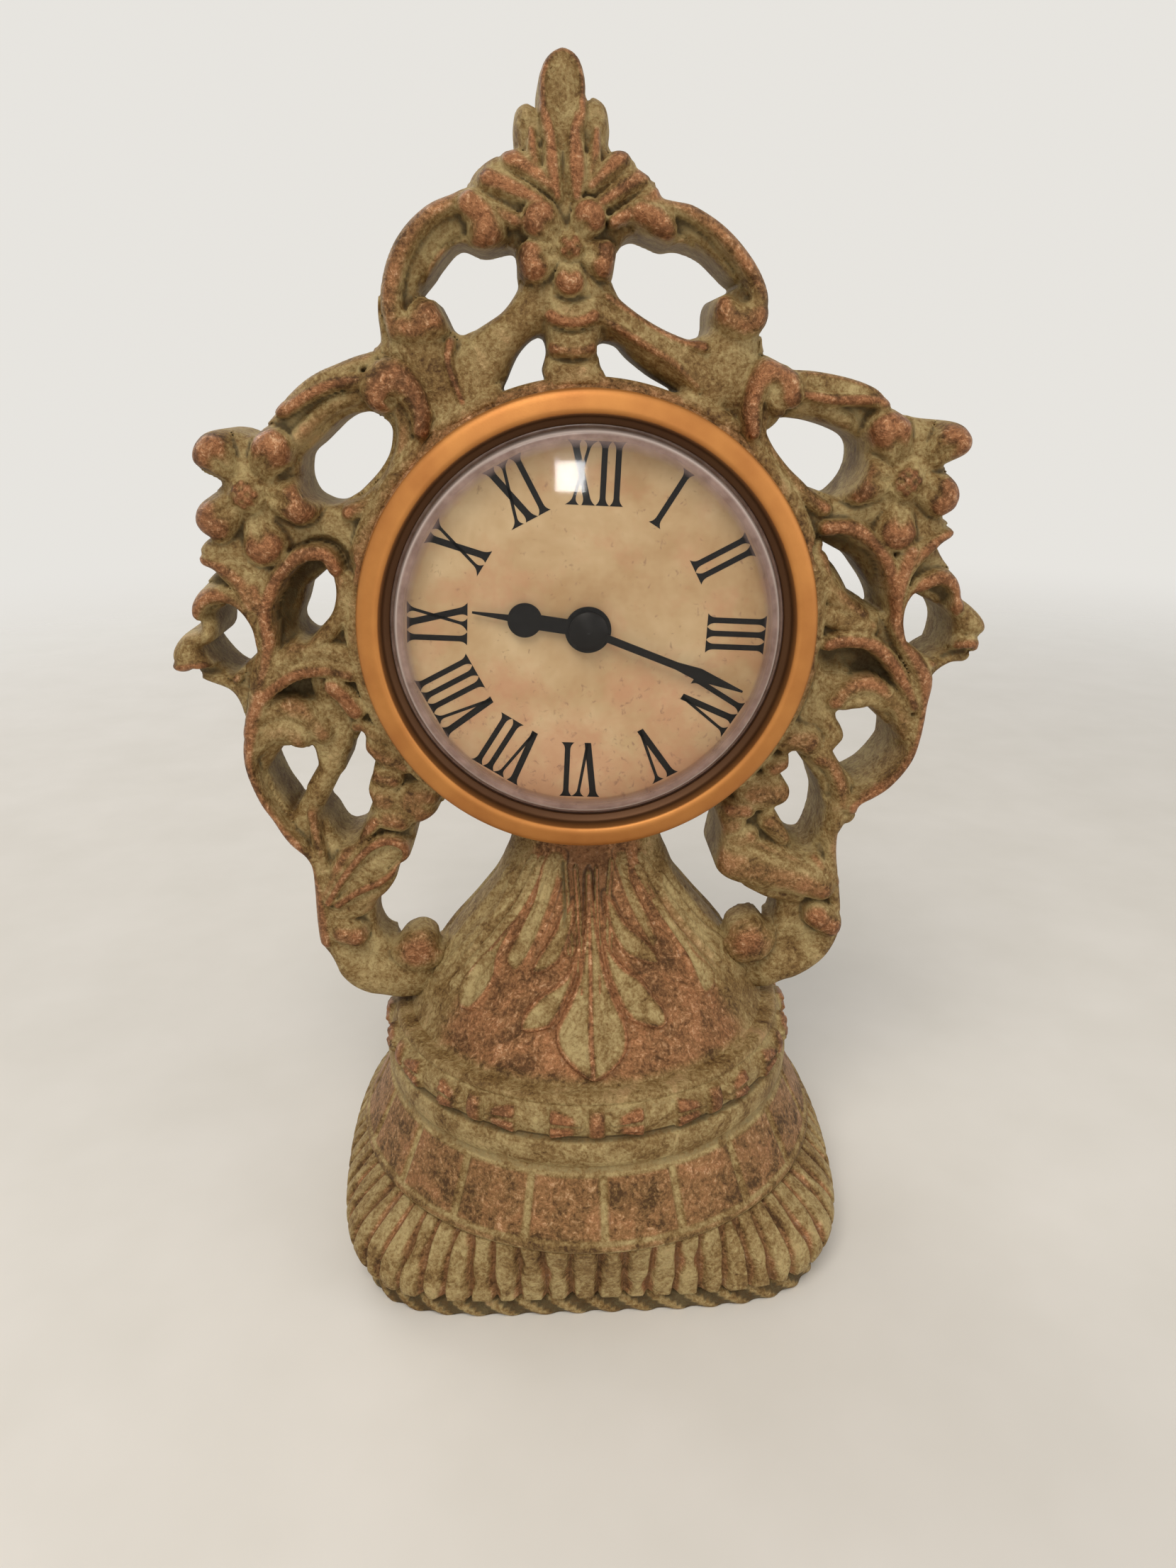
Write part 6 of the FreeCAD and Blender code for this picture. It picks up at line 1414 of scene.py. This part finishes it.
def right_scroll() -> Openwork:
    """The right side: upper arm with its flower, hooked leaves, stem, lower leaf and the arm to the bell."""
    outline = [
        (33, 54), (34.2, 51.2), (36, 49.6), (39.5, 48.1), (43, 47.8), (47, 47.2), (51, 46.3), (54, 45.3),
        (56, 44.3), (58, 42.5), (60, 41), (62, 40), (65, 39.2), (69, 38.8), (71.5, 38.5), (73.5, 37.5),
        (75, 35.5), (75, 33.5), (73.5, 31.8), (71.2, 30.2), (72, 29), (73.5, 27), (74.3, 24.5), (74, 22.5),
        (73, 21), (71.9, 20.2), (73.2, 19.3), (73.8, 17.9), (73.1, 16.2), (71.6, 14.7), (73, 12),
        (75, 9.5), (76.2, 6), (76.5, 4.5), (78.5, 3.2), (81, 1), (82.5, -1), (83, -2.5), (82, -4.5),
        (81.5, -6), (81, -8.5), (80, -9.7), (77, -10), (74, -12), (72.5, -15), (71.8, -18), (71.5, -22),
        (71, -26), (70, -30), (68, -33.5), (65, -37), (62, -39), (60, -40), (59, -41), (59.2, -43),
        (58.5, -45), (57, -46.5), (55.5, -47.5), (55.5, -52), (56, -56), (57, -62), (57.7, -67),
        (57.8, -70), (57, -74), (55, -78), (52, -81), (48, -83.5), (45, -84.5), (40, -87), (33, -84),
        (28, -77), (29, -73), (31, -72), (32, -69), (35, -67), (38.5, -67.4), (40.8, -69.8), (42.4, -69.8),
        (42.9, -67), (43, -64.6), (40.5, -63.8), (37.5, -61.8), (34.4, -59.8), (30.4, -57.2),
        (28.2, -54.2), (28.6, -50.4), (29.2, -46), (28, -36), (36, -12), (36, 12), (30, 34), (29, 42)]
    holes = [
        [(35.3, 37), (36.5, 38.5), (38.5, 39.3), (41, 39), (45, 37.8), (48, 36.3), (49.2, 34.5), (49.3, 32),
         (48.5, 29.5), (47, 27.5), (45, 26), (43, 27.5), (40, 30), (37, 33.5), (35.5, 36)],
        [(47.5, 14), (49, 13.5), (50, 12), (52, 10), (54, 7), (55.5, 4.5), (55.6, 6), (54.2, 9), (52, 12),
         (50, 14.4), (48, 15.2)],
        [(67, 5.5), (68, 4.5), (69, 2), (68.8, -1), (67.8, -4), (66.5, -5), (65.5, -3), (65, 0), (65.3, 3),
         (66.3, 5)],
        [(53.5, -20.5), (56, -19.7), (58, -19.7), (60, -19), (60.5, -21), (60, -25), (58, -29), (55.5, -32),
         (54.5, -31), (53.5, -28.5), (55.3, -26), (55, -24), (53.5, -21.5)],
        [(45, -28.5), (46, -31), (47, -34), (47, -37), (46.5, -40), (45.5, -43), (44.5, -44), (42.5, -43.5),
         (41, -41.5), (43, -39.5), (43.8, -37.5), (43, -34.5), (41.5, -33.2), (43, -31.5), (43.5, -29)],
    ]
    marks = [
        ring_line(-46, 60),
        Channel([(49, 14.5), (52.5, 13), (55.5, 9.5), (58, 5)], 2.8, 2.0, 0.7),
        Ridge([(41, 46.3), (46, 46), (51, 44.8), (55.5, 43.4)], 2.0, 9.8, 0.15),
        Ridge([(40, 47.7), (46, 47.2), (52, 45.8), (56.5, 43.6)], 0.8, 10.4, 0.4),
        Ridge([(40.5, 43.8), (46, 42.8), (52, 42.7), (56.5, 42.6)], 0.9, 10.6, 0.9),
        Ridge([(41, 41.5), (46, 40.5), (50, 38)], 1.8, 8.5, 0.2),
        Ridge([(56.8, 42), (57.2, 42)], 1.3, 10.8, 0.5),
        Ridge([(34, 41), (33.8, 37), (36, 33), (40, 28.5), (44, 24.5), (47, 22.5)], 1.3, 9.5, 0.5),
        Ridge([(31.2, 37), (31.0, 41.5), (32.2, 45.8), (35, 47.6), (37.6, 46.2), (38.3, 43.5)],
              (1.5, 1.8, 2.2, 2.3, 2.0), 12.5, 0.85),
        Ridge([(35.2, 44.6), (35.6, 42.4), (36.8, 40.4)], (1.0, 1.3, 0.9), 11.4, 0.0),
        Ridge([(66, 16), (70, 19)], 2.5, 8.5, 0.1),
        Ridge([(62.5, 8), (65, 12), (69, 15.5), (72.8, 17.3)], (2.0, 0.9), 10.5, 0.6),
        Ridge([(72, -3), (77, 0), (81, -1)], (3.5, 2.5), 9.5, 0.2),
        Channel([(71, 6), (73.5, 4), (73, 1)], 1.2, 6.5, 0.8),
        Ridge([(65.5, -2), (65.2, 3), (67.5, 7), (71.5, 8.8), (75, 6.8), (75.8, 3.5), (74.5, 0.5)], 1.2,
              10.8, 0.7),
        Ridge([(72, -9), (75, -6), (79, -5), (81.5, -6)], 1.2, 10.0, 0.5),
        Channel([(75, -8.3), (79, -7.2)], 0.9, 6.0, 0.8),
        Channel([(52, -8), (57, -9), (61, -12)], 3.5, 3.4, 0.9),
        Ridge([(46.8, 14), (48, 8), (51.5, 4), (56, 1)], 1.6, 9.5, 0.2),
        Ridge([(48, 1.5), (53, -0.5), (58, -1.5)], 1.5, 9.5, 0.25),
        Ridge([(47.5, 18.8), (52, 18.8), (56, 16.8), (60, 12.5), (61.5, 8.5)], 1.2, 10.8, 0.7),
        Ridge([(49.5, -4.5), (53, -3.8), (58, -4.5), (62, -7.5), (65.5, -12), (68.5, -18)], 1.2, 10.8, 0.7),
        Ridge([(52.5, -17), (55, -14.5), (59, -13.5), (63, -16), (66.5, -20), (67.5, -25)], 1.6, 9.8, 0.4),
        Ridge([(55, -18), (58, -17.5), (62, -18)], 1.8, 9.0, 0.2),
        Ridge([(51.5, -22), (53.5, -25.5), (51, -28)], 2.2, 8.5, 0.2),
        Ridge([(49.5, -29.5), (52.5, -31), (54.5, -35), (55.5, -40)], 1.6, 9.8, 0.5),
        Ridge([(50, -40), (51.5, -43), (51, -48)], 1.8, 9.0, 0.2),
        Ridge([(54, -41), (54.5, -46), (54.5, -52), (55.5, -58)], 1.5, 9.5, 0.3),
        Ridge([(57.6, -43.5), (58.4, -43.5)], 2.0, 9.0, 0.2),
        Ridge([(64.5, 14), (63, 8), (63, 2), (65.5, -4), (69, -10), (71, -16), (71, -22), (70, -28),
               (67.5, -33), (63, -37), (58, -40.5)], 1.7, 11.0, 0.85),
        Ridge([(44, -46), (48, -50.5), (52, -55), (56, -59)], 1.0, 10.0, 0.5),
        Ridge([(57, -70), (55, -76), (50, -81), (44, -82)], 4.5, 9.0, 0.2),
        Ridge([(44.5, -65), (44, -70)], 2.5, 7.5, 0.1),
        Ridge([(55.6, -58), (56.2, -64), (56.4, -70)], 1.5, 9.4, 0.3),
        Ridge([(30, -52.5), (37, -54.5), (45, -57), (52, -59.5)], (4.2, 2.5), 11.5, 0.6),
        Ridge([(36, -48.5), (44, -52), (52, -57)], 1.0, 10.6, 0.3),
        Ridge([(36, -59.5), (41, -61.3), (47, -62)], 1.6, 9.0, 0.3),
        Ridge([(51.5, -66.5), (55, -69)], 2.4, 11.5, 0.8),
        Ridge([(35.7, -72.3), (36.4, -72.3)], 4.6, 11.5, 0.95),
        Ridge([(43, -25), (46.5, -26)], 2.6, 10.8, 0.5),
        Ridge([(40, -31.5), (42.5, -31)], 2.0, 10.8, 0.6),
        Ridge([(40, -43.5), (43.5, -47)], 2.2, 10.6, 0.4),
        Ridge([(28.5, -44.5), (31, -44)], 2.8, 10.8, 0.5),
        Ridge([(31, -48.5), (35, -47.5)], 2.0, 10.6, 0.4),
        Ridge([(31, -41), (34, -40.5)], 2.0, 10.8, 0.6),
        Ridge([(36, -37), (42, -37)], 3.2, 10.9, 0.6),
        Flower((62.5, 27.5, 3.0), [(58.5, 36.5, 4.5), (71.5, 35, 4.2), (69.8, 24.8, 4.0), (61.5, 18, 3.9),
                                   (54, 28, 4.8)], 12.5),
    ]
    return Openwork("right_scrolls", outline, holes, marks, thin=[(48, -78, 15, 6), (36, -72.3, 6, 12)])


@dataclass
class CastFrame:
    """The one-piece casting: base, bell, ring, crown and the two sides."""

    slot: Finish = Finish.antiqued_casting
    turn: int = 360

    def ring(self) -> Shell:
        """The ring round the insert: its section carried round the dial's axis."""
        section = rounded_profile([
            (41.0, -10.9, 0), (44.6, -10.95, 0.1), (46.3, -10.9, 0.7), (47.0, -9.6, 0.9), (46.9, 11.6, 1.0),
            (45.6, 13.0, 1.0), (42.0, 13.0, 0.6), (41.0, 12.2, 0.5), (41.0, -10.9, 0)])
        front = smooth_step(-section[:, 1], 8.5, 10.6)
        return turned(section, self.turn, rub=0.15 + 0.45 * front, grime=0.15 * (1 - front))

    def build(self, bench: Bench) -> None:
        """Makes and places every part of the casting."""
        shells = {"fluted_foot": Plinth().shell(), "banded_collar": Collar().shell(),
                  "acanthus_bell": Bell().shell(), "casting_ring": self.ring()}
        shells |= {part.name: part.shell() for part in (crown(), left_scroll(), right_scroll())}
        for name, shell in shells.items():
            bench.place(name, shell, self.slot, "stand", "cast_frame")


# The insert


@dataclass
class Insert:
    """The gold bezel, the stepped window and the printed card with its numerals."""

    card_face: float = -12.8
    ink: float = 0.05
    cap_height: float = 11.8
    foot_radius: float = 23.8
    stem: float = 1.12
    hair: float = 0.62
    serif: float = 2.65
    bracket: float = 1.7
    turn: int = 288
    dome_rows: int = 22

    def bezel(self) -> Shell:
        """The gold ring: a broad satin face that leans outwards and a painted-shade step down to the window.
        """
        section = rounded_profile([
            (42.8, -11.0, 0), (45.0, -11.0, 0.2), (45.0, -17.4, 0.9), (44.2, -18.2, 0.9), (41.4, -18.95, 0.7),
            (40.6, -18.6, 0.4), (40.0, -15.9, 0.5), (39.4, -15.5, 0.3), (38.7, -15.1, 0.2), (38.7, -14.0, 0),
            (42.8, -14.0, 0), (42.8, -11.0, 0)])
        # The inner step is darkened as painted shade.
        return turned(section, self.turn, grime=0.9 * smooth_step(40.7 - section[:, 0], 0, 0.35))

    def _dome(self, radius: float, edge: float, apex: float) -> np.ndarray:
        """A dome's profile from its edge to its apex: edge + rise (1 - (r/R)^2)."""
        share = np.linspace(1, 0, self.dome_rows)
        return np.column_stack([share * radius, edge + (apex - edge) * (1 - share ** 2)])

    def window(self) -> Shell:
        """The clear window: flange, step, outer dome, and the inner dome behind them."""
        outer = rounded_profile([(42.6, -12.85, 0), (42.6, -13.95, 0.2), (38.2, -14.0, 0.3),
                                 (37.4, -16.4, 0.5), (36.4, -16.65, 0.3)])
        inner = rounded_profile([(36.0, -16.0, 0), (36.0, -12.85, 0), (42.6, -12.85, 0)])
        section = np.vstack([outer, self._dome(36.2, -16.65, -19.4)[1:],
                             self._dome(36.0, -16.0, -18.2)[::-1], inner[1:]])
        reach, place = section.T
        rim = between(reach, (35.9, 36.4), (38.6, 39.2)) * (place < -13.0)
        # A thin ring painted as the step's edge highlight.
        line = line_at(reach, 37.5, 0.3) * (place < -14.8)
        return turned(section, self.turn, rim=rim, line=line)

    def _stroke(self, low: float, high: float, wide: float, foot: bool) -> np.ndarray:
        """The outline of one stroke of a letter, flared at its ends by serif (1 - v / bracket)^2.6.

        Args:
            low: Where its middle stands at the foot, in mm.
            high: Where its middle stands at the top.
            wide: Its width.
            foot: Whether its foot is flared too.

        Returns:
            The corners of the outline, up its left side and down its right one.
        """
        steps = np.array([0.0, 0.15, 0.35, 0.6, 0.9, 1.3, self.bracket])
        level = np.concatenate([steps, self.cap_height - steps[::-1]])
        near_top = np.clip(1 - (self.cap_height - level) / self.bracket, 0, 1) ** 2.6
        near_foot = np.clip(1 - level / self.bracket, 0, 1) ** 2.6 * foot
        half = (wide + (self.serif - wide) * (near_top + near_foot)) / 2
        middle = low + (high - low) * level / self.cap_height
        left, right = np.column_stack([middle - half, level]), np.column_stack([middle + half, level])
        return np.vstack([left, right[::-1]])

    def _glyph(self, letter: str, start: float) -> tuple[list[np.ndarray], float]:
        """The strokes of one Roman letter.

        Args:
            letter: I, V or X.
            start: Where it starts across the numeral, in mm.

        Returns:
            The outlines of its strokes, and how wide the letter is.
        """
        bold = self.stem * 1.2
        width, strokes = {
            "I": (2.66, [(1.3, 1.3, self.stem, True)]),
            "V": (5.9, [(3.1, 1.4, bold, False), (3.1, 4.7, self.hair, False)]),
            "X": (5.9, [(4.5, 1.4, bold, True), (1.4, 4.5, self.hair, True)]),
        }[letter]
        return [self._stroke(start + low, start + high, wide, foot)
                for low, high, wide, foot in strokes], width

    def numerals(self) -> Shell:
        """The printed numerals: thin plates on the card whose feet point towards the centre.

        A point u across and v up lies at u t + (foot + v) n, where n is the outward direction of the
        hour and t the clockwise one.
        """
        points, caps, walls = [], [], []
        total = 0
        for hour, text in enumerate("XII I II III IV V VI VII VIII IX X XI".split()):
            strokes, width = [], 0.0
            for letter in text:
                more, step = self._glyph(letter, width)
                strokes += more
                width += step
            angle = math.radians(30 * hour) + DIAL_TURN
            out = np.array([math.sin(angle), math.cos(angle)])
            side = np.array([math.cos(angle), -math.sin(angle)])
            for outline in strokes:
                flat = (outline[:, :1] - width / 2) * side + (self.foot_radius + outline[:, 1:]) * out
                count = len(flat)
                for y in (self.card_face - self.ink, self.card_face):
                    points.append(np.column_stack([flat[:, 0], np.full(count, y), flat[:, 1] + DIAL_HEIGHT]))
                corner = total + np.arange(count)
                after = total + (np.arange(count) + 1) % count
                caps += [corner, (corner + count)[::-1]]
                walls.append(np.stack([after, corner, corner + count, after + count], -1))
                total += 2 * count
        return Shell(np.vstack(points), [np.array(caps), np.vstack(walls)])

    def build(self, bench: Bench) -> None:
        """Makes and places the bezel, the window and the print on the card."""
        bench.place("gold_bezel", self.bezel(), Finish.gold_metal, "insert", "bezel")
        bench.place("window_glass", self.window(), Finish.clear_window, "insert", "lens")
        bench.place("numerals_print", self.numerals(), Finish.black_metal, "insert", smooth=False)


@dataclass
class Works:
    """The CAD solids whose shape stays, each with the finish of its slot."""

    skip: tuple[str, ...] = ("cast_frame", "bezel", "lens")

    def build(self, bench: Bench) -> None:
        """Gives each solid that stays the finish that the record names for it."""
        for item in frame["record"]["subparts"]:
            name, slot = item["node"], item["material_slot"]
            if name not in self.skip:
                piece = frame["nodes"][name]
                piece.data.materials.clear()
                piece.data.materials.append(bench.finish(Finish[slot]))
                log.info("%s: %s", name, slot)


# The stage


@dataclass
class Studio:
    """The pale floor, the soft lamps, the pale background and the camera."""

    eye: tuple = (-9.8, -225.8, 184.9)
    pitch: float = math.radians(20.151)
    yaw: float = math.radians(2.618)
    roll: float = math.radians(0.193)
    lens: float = 24.97
    sensor: float = 36
    clip: tuple = (0.01, 20)
    floor_reach: float = 1.1
    floor_sides: int = 96
    target: tuple = (0, 0, 0.13)

    def floor(self) -> None:
        """A plain pale disc under the clock that fades out into the background."""
        mesh = bpy.data.meshes.new("floor")
        angle = np.linspace(0, 2 * math.pi, self.floor_sides, endpoint=False)
        rim = [(self.floor_reach * math.cos(a), self.floor_reach * math.sin(a), 0.0) for a in angle]
        mesh.from_pydata(rim, [], [list(range(self.floor_sides))])
        piece = bpy.data.objects.new("floor", mesh)
        bpy.context.scene.collection.objects.link(piece)
        g = Graph("pale_floor")
        grain = g.noise(40.0, 3.0)
        colour = g.ramp(grain, (0.3, paint(228, 224, 216)), (0.7, paint(234, 230, 223)))
        place = g.node("ShaderNodeTexCoord", {}, {}, "Object")
        away = g.node("ShaderNodeVectorMath", {"operation": "LENGTH"}, {0: place}, "Value")
        near = ((self.floor_reach - away) / (self.floor_reach * 0.75)).clipped()
        piece.data.materials.append(g.done(g.skin(
            Base_Color=colour, Roughness=0.7, Alpha=near * near * (3.0 - 2.0 * near))))

    def lamp(self, name: str, place: tuple, size: float, power: float, colour: tuple) -> None:
        """A square soft lamp that faces the dial.

        Args:
            name: The lamp's name.
            place: Where it hangs, in metres.
            size: Its side, in metres.
            power: Its power, in watts.
            colour: Its colour.
        """
        light = bpy.data.lights.new(name, "AREA")
        light.size, light.energy, light.color = size, power, colour
        piece = bpy.data.objects.new(name, light)
        aim = Vector(self.target) - Vector(place)
        piece.matrix_world = Matrix.Translation(place) @ aim.to_track_quat("-Z", "Y").to_matrix().to_4x4()
        bpy.context.scene.collection.objects.link(piece)

    def backdrop(self) -> None:
        """A pale world that the camera, gloss and clear parts see brighter than it lights."""
        g = Graph("pale_room", world=True)
        seen, gloss, through = (g.node("ShaderNodeLightPath", {}, {}, ray) for ray in (
            "Is Camera Ray", "Is Glossy Ray", "Is Transmission Ray"))
        dim, bright = (g.node("ShaderNodeBackground", {}, {"Color": colour, "Strength": strength})
                       for colour, strength in (((1.0, 0.98, 0.95, 1), 0.36), ((0.80, 0.78, 0.74, 1), 1.0)))
        share = seen.or_more(gloss).or_more(through)
        both = g.node("ShaderNodeMixShader", {}, {0: share, 1: dim, 2: bright})
        bpy.context.scene.world = g.done(both, "ShaderNodeOutputWorld")

    def camera(self) -> None:
        """The camera at the photograph's place: turned by its yaw, dipped by its pitch, then rolled."""
        flat = math.cos(self.pitch)
        forward = Vector((math.sin(self.yaw) * flat, math.cos(self.yaw) * flat, -math.sin(self.pitch)))
        level = Vector((math.cos(self.yaw), -math.sin(self.yaw), 0))
        above = level.cross(forward)
        right = math.cos(self.roll) * level - math.sin(self.roll) * above
        up = math.sin(self.roll) * level + math.cos(self.roll) * above
        data = bpy.data.cameras.new("photo_camera")
        data.lens, data.sensor_width = self.lens, self.sensor
        data.clip_start, data.clip_end = self.clip
        piece = bpy.data.objects.new("photo_camera", data)
        turn = Matrix((right, up, -forward)).transposed().to_4x4()
        piece.matrix_world = Matrix.Translation(Vector(self.eye) * MM) @ turn
        bpy.context.scene.collection.objects.link(piece)
        bpy.context.scene.camera = piece

    def build(self) -> None:
        """Sets the floor, the lamps, the background and the camera."""
        self.floor()
        for lamp in (("ceiling_soft", (-0.25, -0.75, 1.15), 0.7, 9.0, (1.0, 0.95, 0.88)),
                     ("side_soft", (1.1, -0.6, 0.5), 0.8, 3.2, (1.0, 0.97, 0.94)),
                     ("dial_glint", (0.0, -1.2, 0.372), 0.09, 1.3, (1.0, 0.98, 0.95)),
                     ("back_soft", (-0.7, 0.9, 0.8), 0.8, 3.6, (1.0, 0.98, 0.96))):
            self.lamp(*lamp)
        self.backdrop()
        bpy.context.scene.view_settings.view_transform = "Standard"
        self.camera()


def main() -> None:
    """Builds the clock and its stage in order."""
    logging.basicConfig(level=logging.INFO, format="%(name)s %(message)s")
    bench = Bench()
    for part in (CastFrame(), Insert(), Works()):
        part.build(bench)
        log.info("built %s", type(part).__name__)
    Studio().build()


if __name__ == "__main__":
    main()
